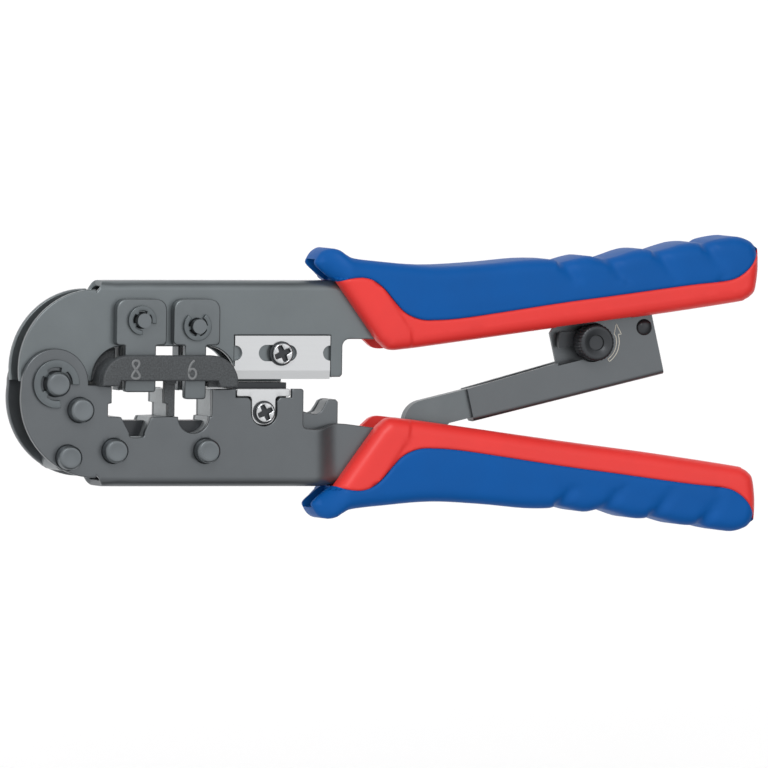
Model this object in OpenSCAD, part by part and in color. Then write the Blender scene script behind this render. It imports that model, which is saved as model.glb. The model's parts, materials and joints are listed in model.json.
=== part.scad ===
// Crimping tool for modular plugs.
// Two folded sheet frames hinge on one pin. The wide lower frame carries the
// die block and straddles the narrow upper frame, which carries the punches.
// Drawn about the hinge pin: X along the handles, Y upwards across the jaws,
// Z through the thickness, then moved so that the origin is under the middle.

/* [Overall] */
// Distance from the hinge pin to the far end of the grips
reach = 181; // [176:1:220]
// Height over the spines of both frames, handles open
frame_h = 49.8; // [46:0.2:62]
// Width over the lower frame's plates at the head
outer_w = 12; // [11.6:0.1:15]
// Thickness of both frames' sheet
sheet_t = 1.6; // [1.2:0.1:1.8]
// Gap between a frame's plate and the plate beside it
plate_gap = 0.2; // [0.15:0.05:0.3]

/* [Frames] */
// X of the centre of the rounded nose of each frame
nose_x = 10.7; // [8:0.1:12]
// Distance of that centre from the closing line
nose_y = 3.4; // [2:0.1:5]
// Step from the spine down to the flat edge of the nose
nose_drop = 2.1; // [1:0.1:3]
// X where each spine begins
spine_x = 11.5; // [11:0.1:14]
// Outside radius of the bend between plate and spine
bend_r = 2.5; // [1.8:0.1:3]
// Radius of the lower frame's ear round the hinge pin
ear_r = 8.5; // [7:0.1:9]
// Radius of the upper frame's ear round the hinge pin
inner_ear_r = 5.2; // [4.8:0.1:5.3]
// X where the lower frame's plates start to step inwards
step_x = 67.3; // [66:0.1:69]
// Length of that step
step_len = 5.9; // [4:0.1:8]
// Right edge of the lower front plate's tall part
shoulder_x = 63.8; // [63:0.1:65]
// Height of the lower frame's handle edge below the closing line
lower_neck_y = 9.6; // [9:0.1:10.5]
// Right edge of the upper frame's tall part
lip_x = 74.3; // [73.5:0.1:76]
// Height of the upper frame's lip above the closing line
lip_y = 1.6; // [1.2:0.1:3]
// Height of the upper frame's handle edge above the closing line
upper_neck_y = 10.8; // [10:0.1:12]
// Height of both frames' handle edges at the lock
tail_edge_y = 17.2; // [17:0.1:18]
// How far both spines rise along the handles
tail_rise = 5.6; // [4:0.1:7]
// Length of grip beyond the end of the frames
tail_cover = 16; // [10:0.5:20]

/* [Pins] */
// Diameter of the hinge pin
pivot_d = 6; // [5:0.1:7.4]
// Distance from mid-plane to the ends of the pins and rivets
pin_half = 9; // [8.4:0.1:10]
// Diameter of the frame rivets
rivet_d = 5.9; // [5:0.1:7.1]
// Diameter of the punch pins
punch_pin_d = 3.5; // [3:0.1:4.2]
// Thickness of a retaining clip
clip_t = 0.9; // [0.6:0.1:1.2]
// Clearance of a turning or sliding fit
run_gap = 0.05; // [0.03:0.01:0.08]
// Clearance of a fixed fit
fix_gap = 0.02; // [0.01:0.01:0.03]

/* [Nests] */
// Left side of the wide nest
wide_nest_x = 14.5; // [14:0.1:15]
// Width of the wide nest
wide_nest_w = 13.4; // [12:0.1:14]
// Extra width on each side of the wide nest's lower half
wide_nest_step = 1; // [0.5:0.1:1.2]
// Left side of the narrow nest
narrow_nest_x = 30.7; // [30.5:0.1:31]
// Width of the narrow nest
narrow_nest_w = 9.6; // [9:0.1:10]
// Depth of both nests below the closing line
nest_depth = 8; // [7:0.1:9]
// Bottom of the latch notches below the closing line
notch_depth = 12.8; // [12:0.1:13.5]

/* [Guide] */
// Left end of the half-moon guide
guide_x = 10.8; // [10.6:0.1:11]
// Length of the half-moon guide
guide_w = 34.9; // [34:0.1:35]
// Height of the half-moon guide
guide_h = 7; // [6:0.1:7.2]
// Distance from mid-plane to the guide's face
guide_face = 10; // [9.8:0.1:11]
// Room between the guide and the window round it
window_gap = 0.9; // [0.8:0.1:1.2]
// Extra room above the guide for the closing stroke
window_rise = 2; // [1.8:0.1:2.5]

/* [Punches] */
// Thickness of the strain relief punches
punch_t = 2.4; // [2:0.1:2.5]
// Pitch of the contact drivers
contact_pitch = 1.02; // [1:0.01:1.04]
// Thickness of one contact driver
contact_t = 0.5; // [0.4:0.05:0.6]

/* [Blades] */
// Length of the upper blade
blade_len = 24.5; // [22:0.1:24.6]
// Height of the upper blade
blade_h = 10.5; // [9:0.1:11]
// Thickness of the upper blade
blade_t = 1; // [0.8:0.1:1.1]
// Diameter of the upper blade's screw head
upper_screw_d = 5.1; // [4.6:0.1:6.2]
// Diameter of the lower blade's screw head
lower_screw_d = 4.8; // [4.2:0.1:5.6]

/* [Lock] */
// Distance from the hinge pin along the handles to the channel's pivot
lock_x = 152.6; // [151:0.1:154]
// Height of the channel's pivot above the closing line
lock_y = 20.4; // [20.2:0.1:21]
// Slope of the channel, handles open
lock_slope = 13.3; // [12.8:0.1:13.8]
// Length of the channel
channel_len = 50.4; // [46:0.1:52]
// Height of the channel's long part
channel_h = 8.1; // [7.6:0.1:8.6]
// Thickness of the channel's sheet
channel_t = 0.9; // [0.7:0.1:1]
// Diameter of the release knob
knob_d = 9; // [8:0.1:9.6]
// Thickness of the release knob
knob_t = 5; // [4:0.1:5.2]

/* [Grips] */
// Thickness of the grips
grip_w = 18; // [17.4:0.1:20]
// Thickness of the core's sleeve over the spine
sleeve_t = 1.2; // [0.8:0.1:1.6]

/* [Hidden] */
$fn = 48;
eps = 0.01;
big = 400;

// Distances from mid-plane to the faces of the plates
lower_out = outer_w / 2;
lower_in = lower_out - sheet_t;
upper_out = lower_in - plate_gap;
upper_in = upper_out - sheet_t;
handle_out = upper_out;
handle_in = upper_in;

// Heights and ends that both frames share
spine_y = frame_h / 2;
edge_y = spine_y - nose_drop;
nose_r = edge_y - nose_y;
half_gap = 0.5;
frame_end = reach - tail_cover;
slope_x = 76;
lock_edge_x = lock_x - 24.6;
// Points on the handle edges beside the rack's pin, inside the grips
lower_hold = [98.5, 11.2];
upper_hold = [98.5, 12.8];

// The frame of the finished part
left_x = nose_x - nose_r;
mid_x = (left_x + reach) / 2;
floor_z = max(pin_half, grip_w / 2);

// Places of the pins
rivet_at = [[6.23, -6.33], [3.3, -17.8], [15.1, -16.2], [38.7, -16.2]];
wide_pin_at = [21.6, 15.4];
narrow_pin_at = [35.8, 14];
upper_screw_at = [58.5, 7.3];
lower_screw_at = [53.7, -6.9];

// The lock in its own axes: u along the channel, v across it
channel_pin_uv = [channel_len - 1.3, 18.9];
knob_uv = [channel_len - 16.5, 11.8];
rivet_uv = [channel_len - 2.6, 12.3];
channel_out = upper_in - 0.15;
channel_in = channel_out - channel_t;
rack_half = channel_in - 0.15;
rack_pin_uv = [-15.2, -0.6];
rack_tail_u = knob_uv[0] + 4;
rack_top_v = channel_h - 0.1;
tooth_pitch = 1.5;
tooth_h = 1;
tooth_root_v = rack_top_v - 3.6;
channel_pin_d = 3;
rack_pin_d = 3;
// The rack's pivot is where the closed linkage is opened, so its hole is loose
rack_pin_room = 0.45;
knob_back = 1;
knob_front = knob_back + knob_t + 0.3;

// Moves the drawing from the hinge pin to the part's own origin
module place() {
    translate([-mid_x, 0, floor_z]) children();
}

// Puts children drawn in the lock's axes in place
module lock_frame() {
    pin = channel_pin_uv;
    translate([lock_x, lock_y, 0]) rotate(lock_slope) translate([-pin[0], -pin[1], 0]) children();
}

// A plate between two distances from mid-plane
module slab(z0, z1) {
    translate([0, 0, z0]) linear_extrude(height = z1 - z0) children();
}

// A pair of plates on both sides of mid-plane
module plate_pair(z0, z1) {
    slab(z0, z1) children();
    slab(-z1, -z0) children();
}

// A straight pin across the tool
module pin(at, d, z0, z1) {
    translate([at[0], at[1], z0]) cylinder(d = d, h = z1 - z0);
}

// A pin with a small chamfer at each end
module chamfered_pin(at, d, half) {
    chamfer = 0.4;
    pin(at, d, -half + chamfer, half - chamfer);
    for (s = [0, 1]) mirror([0, 0, s]) {
        translate([at[0], at[1], half - chamfer]) cylinder(d1 = d, d2 = d - 2 * chamfer, h = chamfer);
    }
}

// A rectangle between two corners
module box2(x0, y0, x1, y1) {
    translate([x0, y0]) square([x1 - x0, y1 - y0]);
}

// Rectangle with two round upper corners
module dome2(x0, x1, y0, y1, r) {
    box2(x0 + r, y0, x1 - r, y1);
    box2(x0, y0, x1, y1 - r);
    intersection() {
        box2(x0, y0, x1, y1);
        for (x = [x0 + r, x1 - r]) translate([x, y1 - r]) circle(r = r);
    }
}

// Open retaining clip: a ring with a mouth and three inner teeth
module clip2(pin_d, out_d, mouth) {
    rotate(mouth) {
        difference() {
            circle(d = out_d);
            circle(d = pin_d + 0.3 * (out_d - pin_d));
            rotate(-30) box2(0, 0, out_d, 0.35 * pin_d);
            rotate(30) box2(0, -0.35 * pin_d, out_d, 0);
            box2(0, -0.35 * pin_d, out_d, 0.35 * pin_d);
        }
        for (a = [80, 180, 280]) rotate(a) difference() {
            box2(pin_d / 2, -0.14 * pin_d, 0.42 * out_d, 0.14 * pin_d);
            circle(d = pin_d + 2 * fix_gap);
        }
    }
}

// Outer boundary of one frame in the +Y sense, from the closing line outwards
module half_outline(neck_x, neck_y, hold, y0) {
    intersection() {
        translate([nose_x, nose_y]) circle(r = nose_r, $fn = 120);
        box2(left_x - 1, y0, nose_x + eps, edge_y);
    }
    polygon([
        [nose_x, y0], [nose_x, edge_y], [spine_x, edge_y], [spine_x + nose_drop / 2, spine_y],
        [slope_x, spine_y], [frame_end, spine_y + tail_rise], [frame_end, tail_edge_y + 2],
        [lock_edge_x + 20, tail_edge_y], [lock_edge_x, tail_edge_y],
        hold, [84, neck_y], [neck_x, neck_y], [neck_x, y0]
    ]);
}

// Band of sheet along a spine, +Y sense
module spine_band() {
    polygon([
        [spine_x, edge_y - 0.1], [spine_x, edge_y], [spine_x + nose_drop / 2, spine_y],
        [slope_x, spine_y], [frame_end, spine_y + tail_rise],
        [frame_end, spine_y + tail_rise - sheet_t], [slope_x, spine_y - sheet_t],
        [spine_x + 1, spine_y - sheet_t]
    ]);
}

// Removes the two sharp outside corners along a spine, as a bend does
module bend_cutter(half_w, x1) {
    for (s = [0, 1]) mirror([0, 0, s])
        translate([spine_x - 1, spine_y - bend_r, half_w - bend_r]) rotate([90, 0, 90])
            linear_extrude(height = x1 - spine_x + 1) difference() {
                square(bend_r + 1);
                circle(r = bend_r);
            }
}

// The lower frame's plate, seen from above: straight, then stepped inwards
module stepped_plate() {
    x1 = step_x + step_len;
    rotate([90, 0, 0]) linear_extrude(height = 2 * big, center = true) polygon([
        [-big, lower_in], [step_x, lower_in], [x1, handle_in], [big, handle_in],
        [big, handle_out], [x1, handle_out], [step_x, lower_out], [-big, lower_out]
    ]);
}

// The full width of the lower frame, with the same steps
module stepped_width() {
    x1 = step_x + step_len;
    rotate([90, 0, 0]) linear_extrude(height = 2 * big, center = true) polygon([
        [-big, -lower_out], [step_x, -lower_out], [x1, -handle_out], [big, -handle_out],
        [big, handle_out], [x1, handle_out], [step_x, lower_out], [-big, lower_out]
    ]);
}

// Both nests with their latch notches, as openings
module nests2() {
    wide_right = wide_nest_x + wide_nest_w;
    wide_mid = wide_nest_x + wide_nest_w / 2 - 0.3;
    narrow_mid = narrow_nest_x + narrow_nest_w / 2 + 0.1;
    box2(wide_nest_x, -nest_depth, wide_right, 1);
    box2(wide_nest_x - wide_nest_step, -nest_depth, wide_right + wide_nest_step, -4.7);
    polygon([
        [wide_mid - 4, -nest_depth + eps], [wide_mid - 2.2, -notch_depth],
        [wide_mid + 2.2, -notch_depth], [wide_mid + 4, -nest_depth + eps]
    ]);
    box2(narrow_nest_x, -nest_depth, narrow_nest_x + narrow_nest_w, 1);
    intersection() {
        translate([narrow_mid, -nest_depth]) circle(r = 4);
        box2(narrow_mid - 5, -nest_depth - 5, narrow_mid + 5, -nest_depth + eps);
    }
}

// Outline of the lower blade, grown by a gap for the pocket round it
module lower_blade2(gap) {
    box2(46.7 - gap, -3 - gap, 60.5 + gap, -1.2 + gap);
    box2(50.7 - gap, -6.9, 56.7 + gap, -2);
    translate(lower_screw_at) circle(r = 3 + gap);
}

// Cable rest: a block edge with a hollow in its upper left corner
module rest_edge2(x0, y0) {
    difference() {
        box2(x0, y0, lip_x + 0.3, -1.6);
        translate([65.2, 0.4]) circle(r = 6.6);
    }
}

module lower_frame() {
    color("#5F6467") place() difference() {
        union() {
            intersection() {
                stepped_plate();
                slab(0, big) union() {
                    mirror([0, 1]) half_outline(shoulder_x, lower_neck_y, lower_hold, half_gap);
                    circle(r = ear_r);
                }
            }
            intersection() {
                mirror([0, 0, 1]) stepped_plate();
                slab(-big, 0) union() {
                    mirror([0, 1]) half_outline(shoulder_x, lower_neck_y, lower_hold, half_gap);
                    circle(r = ear_r);
                    rest_edge2(shoulder_x - 2, -lower_neck_y - 1);
                }
            }
            intersection() {
                stepped_width();
                slab(-big, big) mirror([0, 1]) spine_band();
            }
        }
        mirror([0, 1, 0]) bend_cutter(lower_out, step_x);
        pin([0, 0], pivot_d + 2 * fix_gap, -big, big);
        for (at = rivet_at) pin(at, rivet_d + 2 * fix_gap, -big, big);
        slab(-big, big) nests2();
        slab(0, big) lower_blade2(0.3);
        slab(0, big) box2(wide_nest_x, -nest_depth, narrow_nest_x + 1, 1);
        slab(-big, big) box2(28, -1.2, shoulder_x + 1, 1);
        lock_frame() pin(rack_pin_uv, rack_pin_d + 2 * fix_gap, -big, big);
    }
}

module pivot_pin() {
    color("#8A8F92") place() chamfered_pin([0, 0], pivot_d, pin_half);
}

module pivot_bush() {
    color("#8A8F92") place() difference() {
        pin([0, 0], pivot_d + 3, -upper_in + 0.1, upper_in - 0.1);
        pin([0, 0], pivot_d + 2 * run_gap, -big, big);
    }
}

module pivot_clips() {
    color("#6E7376") place() for (s = [0, 1]) mirror([0, 0, s])
        slab(lower_out + 0.05, lower_out + 0.05 + clip_t) clip2(pivot_d, 11.7, 320);
}

module frame_rivets() {
    color("#8A8F92") place() for (at = rivet_at) chamfered_pin(at, rivet_d, pin_half);
}

module frame_spacers() {
    color("#7C8184") place() for (i = [0, 1]) difference() {
        pin(rivet_at[i], rivet_d + 0.8, -lower_in + fix_gap, lower_in - fix_gap);
        pin(rivet_at[i], rivet_d + 2 * fix_gap, -big, big);
    }
}

module nest_guide() {
    guide_r = guide_h - 0.3;
    guide_x1 = guide_x + guide_w;
    cap_back = upper_out + punch_t + 0.2;
    color("#3C3F42") place() union() {
        // Face plate with a raised lower edge over the nests
        slab(cap_back, guide_face) difference() {
            dome2(guide_x, guide_x1, 0, guide_h, guide_r);
            box2(wide_nest_x + 0.8, -1, guide_x1 - 4.7, 0.8);
        }
        // Left end, which reaches in through the window
        slab(-lower_in + 0.1, guide_face) intersection() {
            dome2(guide_x, guide_x1, 0, guide_h, guide_r);
            box2(guide_x, 0, wide_nest_x, guide_h);
        }
        // Right end, which rests on the plate
        slab(lower_out - 1, guide_face) intersection() {
            dome2(guide_x, guide_x1, -0.75, guide_h, guide_r);
            box2(guide_x1 - 2.5, -0.75, guide_x1, guide_h);
        }
    }
}

// Post under the guide and the bar that divides the two nests
module nest_divider() {
    bar_x0 = wide_nest_x + wide_nest_w;
    cap_back = upper_out + punch_t + 0.2;
    color("#3C3F42") place() union() {
        slab(lower_in + fix_gap, lower_out) {
            box2(bar_x0, -4.7, narrow_nest_x, 1.2);
            box2(bar_x0 + wide_nest_step, -nest_depth, narrow_nest_x, -4.7 + eps);
        }
        slab(lower_out - eps, cap_back) box2(bar_x0, 0, narrow_nest_x, 1.2);
    }
}

module die_block() {
    color("#85898C") place() difference() {
        slab(-lower_in + fix_gap, lower_in - fix_gap) difference() {
            box2(guide_x, -20.4, guide_x + guide_w + 0.4, -1.3);
            nests2();
        }
        for (i = [2, 3]) pin(rivet_at[i], rivet_d + 2 * fix_gap, -big, big);
    }
}

module latch_anvils() {
    anvil_depth = nest_depth + 1;
    wide_mid = wide_nest_x + wide_nest_w / 2 - 0.3;
    narrow_mid = narrow_nest_x + narrow_nest_w / 2 + 0.1;
    color("#2C2E31") place() {
        slab(-lower_in + 0.5, 1.5) polygon([
            [wide_mid - 2.1, -notch_depth + 0.05], [wide_mid + 2.1, -notch_depth + 0.05],
            [wide_mid + 3.4, -anvil_depth], [wide_mid - 3.4, -anvil_depth]
        ]);
        slab(-lower_in + 0.5, 1.5) intersection() {
            translate([narrow_mid, -nest_depth]) circle(r = 3.95);
            box2(narrow_mid - 5, -nest_depth - 5, narrow_mid + 5, -anvil_depth);
        }
    }
}

module lower_blade() {
    color("#DADCDD") place() difference() {
        slab(lower_in, lower_in + 1.1) lower_blade2(0);
        pin(lower_screw_at, 3.2, -big, big);
    }
}

// Screw with a round head, its shank and a cross recess
module cross_screw(at, head_d, seat_z, head_t, shank_d, tip_z) {
    difference() {
        union() {
            pin(at, head_d, seat_z, seat_z + head_t - 0.3);
            translate([at[0], at[1], seat_z + head_t - 0.3])
                cylinder(d1 = head_d, d2 = head_d - 0.8, h = 0.3);
            pin(at, shank_d, tip_z, seat_z + eps);
        }
        for (a = [25, 115]) translate([at[0], at[1], seat_z + head_t - 0.7]) rotate(a)
            linear_extrude(height = 1) square([0.66 * head_d, 0.16 * head_d], center = true);
    }
}

module lower_blade_screw() {
    color("#D5D8DA") place()
        cross_screw(lower_screw_at, lower_screw_d, lower_in + 1.1 + fix_gap, 1.5, 2.9, -lower_in + 1);
}

module blade_holder() {
    color("#6A6E71") place() difference() {
        union() {
            // Backing between the upper frame's plates, up to the closing line
            slab(-upper_in + 0.2, upper_in - 0.2) box2(46.8, -6.5, 60.5, 0.2);
            slab(-upper_in + 0.2, lower_in - fix_gap) box2(49, -11, 57.6, -4.7);
            slab(-lower_in + fix_gap, lower_in - fix_gap) box2(49, -11, 57.6, -6);
        }
        pin(lower_screw_at, 2.9 + 2 * fix_gap, -lower_in + 0.8, big);
    }
}

module cable_anvil() {
    color("#5A5D60") place() union() {
        slab(-handle_in + fix_gap, handle_in - 0.8) rest_edge2(shoulder_x - 2, -13);
        slab(-handle_in + fix_gap, handle_in - fix_gap) box2(shoulder_x + 2, -14.5, lip_x + 0.3, -10);
    }
}

module upper_frame() {
    window_x0 = guide_x - window_gap;
    window_x1 = guide_x + guide_w + window_gap + 0.4;
    window_top = guide_h + window_rise;
    color("#6B7174") place() difference() {
        union() {
            slab(upper_in, upper_out) {
                half_outline(lip_x, upper_neck_y, upper_hold, lip_y);
                intersection() {
                    translate([nose_x, nose_y]) circle(r = nose_r, $fn = 120);
                    box2(left_x - 1, half_gap, nose_x + eps, lip_y + eps);
                }
                circle(r = inner_ear_r);
            }
            slab(-upper_out, -upper_in) {
                difference() {
                    half_outline(lip_x, upper_neck_y, upper_hold, 0.2);
                    box2(61, -1, lip_x + 1, 8);
                }
                circle(r = inner_ear_r);
            }
            slab(-upper_out, upper_out) spine_band();
        }
        bend_cutter(upper_out, 78);
        pin([0, 0], pivot_d + 2 * run_gap, -big, big);
        slab(-big, big) dome2(window_x0, window_x1, -1, window_top, window_top - 1.4);
        for (at = [wide_pin_at, narrow_pin_at]) pin(at, punch_pin_d + 2 * fix_gap, -big, big);
        // Pocket for the upper blade and the screw through it
        slab(upper_out - blade_t - 0.1, big) box2(46.5, 0, 46.8 + blade_len, 1.1 + blade_h + 0.2);
        pin(upper_screw_at, 2.9 + 2 * fix_gap, 0, big);
        lock_frame() pin(channel_pin_uv, channel_pin_d + 2 * fix_gap, -big, big);
    }
}

// A row of contact drivers hanging from a common block
module contact_punch(shift, pin_at, count, tip_y) {
    at = [pin_at[0] + shift, pin_at[1]];
    half_w = upper_in - fix_gap;
    block_w = count * contact_pitch + 0.4;
    difference() {
        union() {
            slab(-half_w, half_w) box2(at[0] - block_w / 2, 10, at[0] + block_w / 2, at[1] + 5);
            for (i = [0 : count - 1])
                slab(-half_w + 0.5, half_w - 0.5)
                    translate([at[0] + (i - (count - 1) / 2) * contact_pitch - contact_t / 2, tip_y])
                        square([contact_t, 10 - tip_y + eps]);
        }
        pin(pin_at, punch_pin_d + 2 * fix_gap, -big, big);
    }
}

module contact_punch_wide() {
    color("#55595C") place() contact_punch(-0.4, wide_pin_at, 8, -1.7);
}

module contact_punch_narrow() {
    color("#55595C") place() contact_punch(-0.3, narrow_pin_at, 6, -1.7);
}

// Strain relief punch: a wide head on a narrower stem
module relief_punch(x0, x1, y0, y1, r, stem_x0, stem_x1, tip_y, pin_at) {
    difference() {
        slab(upper_out + fix_gap, upper_out + punch_t) {
            dome2(x0, x1, y0, y1, r);
            difference() {
                box2(stem_x0, tip_y, stem_x1, y0 + eps);
                for (x = [stem_x0, stem_x1]) translate([x, tip_y]) rotate(45) square(1.2, center = true);
            }
        }
        pin(pin_at, punch_pin_d + 2 * fix_gap, -big, big);
    }
}

module relief_punch_wide() {
    color("#767B7E") place() relief_punch(15.3, 28.2, 9.3, 20.6, 3, 17.6, 25.5, -2, wide_pin_at);
}

module relief_punch_narrow() {
    color("#767B7E") place() relief_punch(30, 41.9, 9.3, 20.6, 3, 33, 38.4, -3.7, narrow_pin_at);
}

module punch_pins() {
    color("#7C8184") place() for (at = [wide_pin_at, narrow_pin_at]) {
        pin(at, punch_pin_d, -upper_out - clip_t - 0.6, upper_out + punch_t + clip_t + 1.4);
        pin(at, punch_pin_d + 1.6, -upper_out - clip_t - 0.6, -upper_out - fix_gap);
    }
}

module punch_clips() {
    z0 = upper_out + punch_t + 0.05;
    color("#6E7376") place() {
        translate(wide_pin_at) slab(z0, z0 + clip_t) clip2(punch_pin_d, 7.1, 300);
        translate(narrow_pin_at) slab(z0, z0 + clip_t) clip2(punch_pin_d, 7.1, 90);
    }
}

module upper_blade() {
    x0 = 46.6;
    x1 = x0 + blade_len;
    y0 = 1.1;
    color("#E2E4E5") place() difference() {
        slab(upper_out - blade_t, upper_out - fix_gap) difference() {
            box2(x0, y0, x1, y0 + blade_h);
            for (x = [x0, x1]) translate([x, upper_screw_at[1] + 0.1]) circle(r = 1.85);
            for (x = [54.7, 60.5]) translate([x, upper_screw_at[1] + 0.1]) circle(r = 2);
            box2(54.7, upper_screw_at[1] - 1.9, 60.5, upper_screw_at[1] + 2.1);
        }
        // Ground edge along the bottom of the front face
        translate([x0 - 1, y0 - 0.01, upper_out - 0.35]) rotate([9, 0, 0]) cube([blade_len + 2, 2.1, 1]);
    }
}

module upper_blade_screw() {
    color("#D5D8DA") place()
        cross_screw(upper_screw_at, upper_screw_d, upper_out + fix_gap, 1.4, 2.9, -upper_in + 0.5);
}

module blade_nut() {
    color("#6A6E71") place() difference() {
        slab(-upper_in + fix_gap, upper_in - fix_gap) box2(54.5, 5.8, 63.5, 11);
        pin(upper_screw_at, 2.9 + 2 * fix_gap, -upper_in + 0.3, big);
    }
}

// Side plate of the channel; the front one is cut away round the knob
module channel_side2(cut) {
    high_u = knob_uv[0] - 8.8;
    difference() {
        union() {
            polygon([
                [0, 0], [channel_len, 0], [channel_len, 18.9], [high_u + 3, 18.9],
                [high_u, 16], [high_u, channel_h + 0.8], [0, channel_h]
            ]);
            translate(channel_pin_uv) circle(r = 3);
        }
        if (cut) {
            translate(knob_uv) circle(r = knob_d / 2 + 0.35);
            box2(high_u - 1, knob_uv[1] - 3.6, knob_uv[0], 30);
        }
    }
}

module lock_channel() {
    color("#62676A") place() lock_frame() difference() {
        union() {
            slab(channel_in, channel_out) channel_side2(true);
            slab(-channel_out, -channel_in) channel_side2(false);
            slab(-channel_out, channel_out) box2(0, 0, channel_len, channel_t);
            // Folded end that the return spring bears on
            slab(-channel_out, channel_out) box2(channel_len - channel_t, 0, channel_len, 4.6);
        }
        // Rounded outside corners of the folded bottom
        for (s = [0, 1]) mirror([0, 0, s])
            translate([-1, 1.2, channel_out - 1.2]) rotate([90, 0, 90])
                linear_extrude(height = channel_len + 2) mirror([1, 0]) difference() {
                    square(2);
                    circle(r = 1.2);
                }
        pin(channel_pin_uv, channel_pin_d + 2 * run_gap, -big, big);
        pin(rivet_uv, 2.4 + 2 * fix_gap, -big, big);
        pin(knob_uv, 2.6 + 2 * run_gap, -big, 0);
    }
}

module channel_rivet() {
    color("#3A3D40") place() lock_frame() {
        pin(rivet_uv, 2.4, -channel_out - 0.6, channel_out + eps);
        pin(rivet_uv, 3.4, -channel_out - 0.6, -channel_out - fix_gap);
        intersection() {
            translate([rivet_uv[0], rivet_uv[1], channel_out - 1.6]) sphere(r = 2.6);
            slab(channel_out + fix_gap, big) translate(rivet_uv) circle(d = 4);
        }
    }
}

module channel_pin() {
    color("#7C8184") place() lock_frame()
        pin(channel_pin_uv, channel_pin_d, -handle_out, handle_out);
}

module channel_washers() {
    color("#7C8184") place() lock_frame() difference() {
        pin(channel_pin_uv, channel_pin_d + 2, -channel_in + 0.1, channel_in - 0.1);
        pin(channel_pin_uv, channel_pin_d + 2 * fix_gap, -big, big);
    }
}

// The rack: a thick plate from its pivot in the lower handle into the channel,
// with ratchet teeth along the top of its tail
module lock_rack() {
    root_u = rack_tail_u - 12;
    count = 7;
    floor_v = channel_t + 0.1;
    color("#6B7073") place() lock_frame() difference() {
        slab(-rack_half, rack_half) {
            intersection() {
                translate([-12, rack_top_v - 5.4]) circle(r = 5.4, $fn = 96);
                box2(-18, -0.5, -6, rack_top_v + 1);
            }
            translate(rack_pin_uv) circle(r = 3.6);
            polygon([
                rack_pin_uv + [-3.4, -1], rack_pin_uv + [0, -3.6], [-8, floor_v - 1.2], [-6, floor_v],
                [rack_tail_u, floor_v], [rack_tail_u, tooth_root_v], [root_u, tooth_root_v],
                [root_u - 2, rack_top_v], [-12, rack_top_v], rack_pin_uv + [-3, 1]
            ]);
            for (i = [0 : count - 1]) translate([root_u + i * tooth_pitch, tooth_root_v - eps])
                polygon([[0, 0], [tooth_pitch, 0], [0, tooth_h]]);
        }
        pin(rack_pin_uv, rack_pin_d + 2 * rack_pin_room, -big, big);
    }
}

module rack_pin() {
    color("#7C8184") place() lock_frame()
        pin(rack_pin_uv, rack_pin_d, -handle_out, handle_out);
}

module rack_washers() {
    color("#7C8184") place() lock_frame() for (s = [0, 1]) mirror([0, 0, s]) difference() {
        pin(rack_pin_uv, rack_pin_d + 3, rack_half + 0.1, handle_in - fix_gap);
        pin(rack_pin_uv, rack_pin_d + 2 * fix_gap, -big, big);
    }
}

// Coil along an axis: a round wire swept through its turns
function ring_points(centre, out, up, wire_r, sides) = [
    for (k = [0 : sides - 1]) centre + wire_r * (cos(360 * k / sides) * out + sin(360 * k / sides) * up)
];

module coil(coil_r, wire_r, turns, length, steps, sides) {
    count = turns * steps;
    rings = [for (i = [0 : count])
        let (a = 360 * i / steps, out = [cos(a), sin(a), 0], centre = coil_r * out + [0, 0, length * i / count])
            ring_points(centre, out, [0, 0, 1], wire_r, sides)
    ];
    points = [for (ring = rings) each ring];
    walls = [for (i = [0 : count - 1], k = [0 : sides - 1])
        [i * sides + k, i * sides + (k + 1) % sides, (i + 1) * sides + (k + 1) % sides, (i + 1) * sides + k]
    ];
    caps = [
        [for (k = [0 : sides - 1]) sides - 1 - k],
        [for (k = [0 : sides - 1]) count * sides + k]
    ];
    polyhedron(points = points, faces = concat(walls, caps), convexity = 10);
}

module return_spring() {
    wire_r = 0.22;
    coil_r = min(channel_in - 0.15 - wire_r, 1.2);
    u0 = rack_tail_u + wire_r + 0.1;
    color("#B9BDC0") place() lock_frame() translate([u0, 2.6, 0]) rotate([0, 90, 0])
        coil(coil_r, wire_r, 8, channel_len - channel_t - u0 - wire_r - 0.1, 14, 6);
}

module release_knob() {
    chamfer = 0.5;
    color("#3E4144") place() lock_frame() difference() {
        union() {
            pin(knob_uv, knob_d, knob_back, knob_front - chamfer);
            translate([knob_uv[0], knob_uv[1], knob_front - chamfer])
                cylinder(d1 = knob_d, d2 = knob_d - 2 * chamfer, h = chamfer);
        }
        translate([knob_uv[0], knob_uv[1], knob_front - 1.2]) cylinder(d1 = 2.6, d2 = 3.9, h = 1.3);
        pin(knob_uv, 2.6 + 2 * fix_gap, -big, knob_front - 1.6);
    }
}

module knob_spindle() {
    color("#6E7376") place() lock_frame() pin(knob_uv, 2.6, -channel_out, knob_front - 1.7);
}

module pawl() {
    tip_v = tooth_root_v + tooth_h + 0.25;
    hub_r = 3;
    leaf_r = 8.2;
    color("#33363A") place() lock_frame() difference() {
        slab(-0.55, knob_back - 0.1) {
            translate(knob_uv) circle(r = hub_r);
            // Curved leaf that shows beside the knob
            intersection() {
                translate(knob_uv) circle(r = leaf_r, $fn = 96);
                polygon([knob_uv + [-10, 4.5], knob_uv + [0, hub_r], knob_uv, knob_uv + [-10, 0.5]]);
            }
            // Tooth that drops between the rack's teeth
            polygon([
                knob_uv + [-2, -2], knob_uv + [2.9, -0.5], knob_uv + [3.5, -4.6],
                [knob_uv[0] + 3, tip_v], [knob_uv[0] + 2.3, tip_v]
            ]);
        }
        pin(knob_uv, 2.6 + 2 * fix_gap, -big, big);
    }
}

module pawl_spring() {
    color("#B9BDC0") place() lock_frame()
        translate([knob_uv[0], knob_uv[1], -channel_in + 0.2]) coil(1.95, 0.12, 2, 0.6, 20, 6);
}

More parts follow.
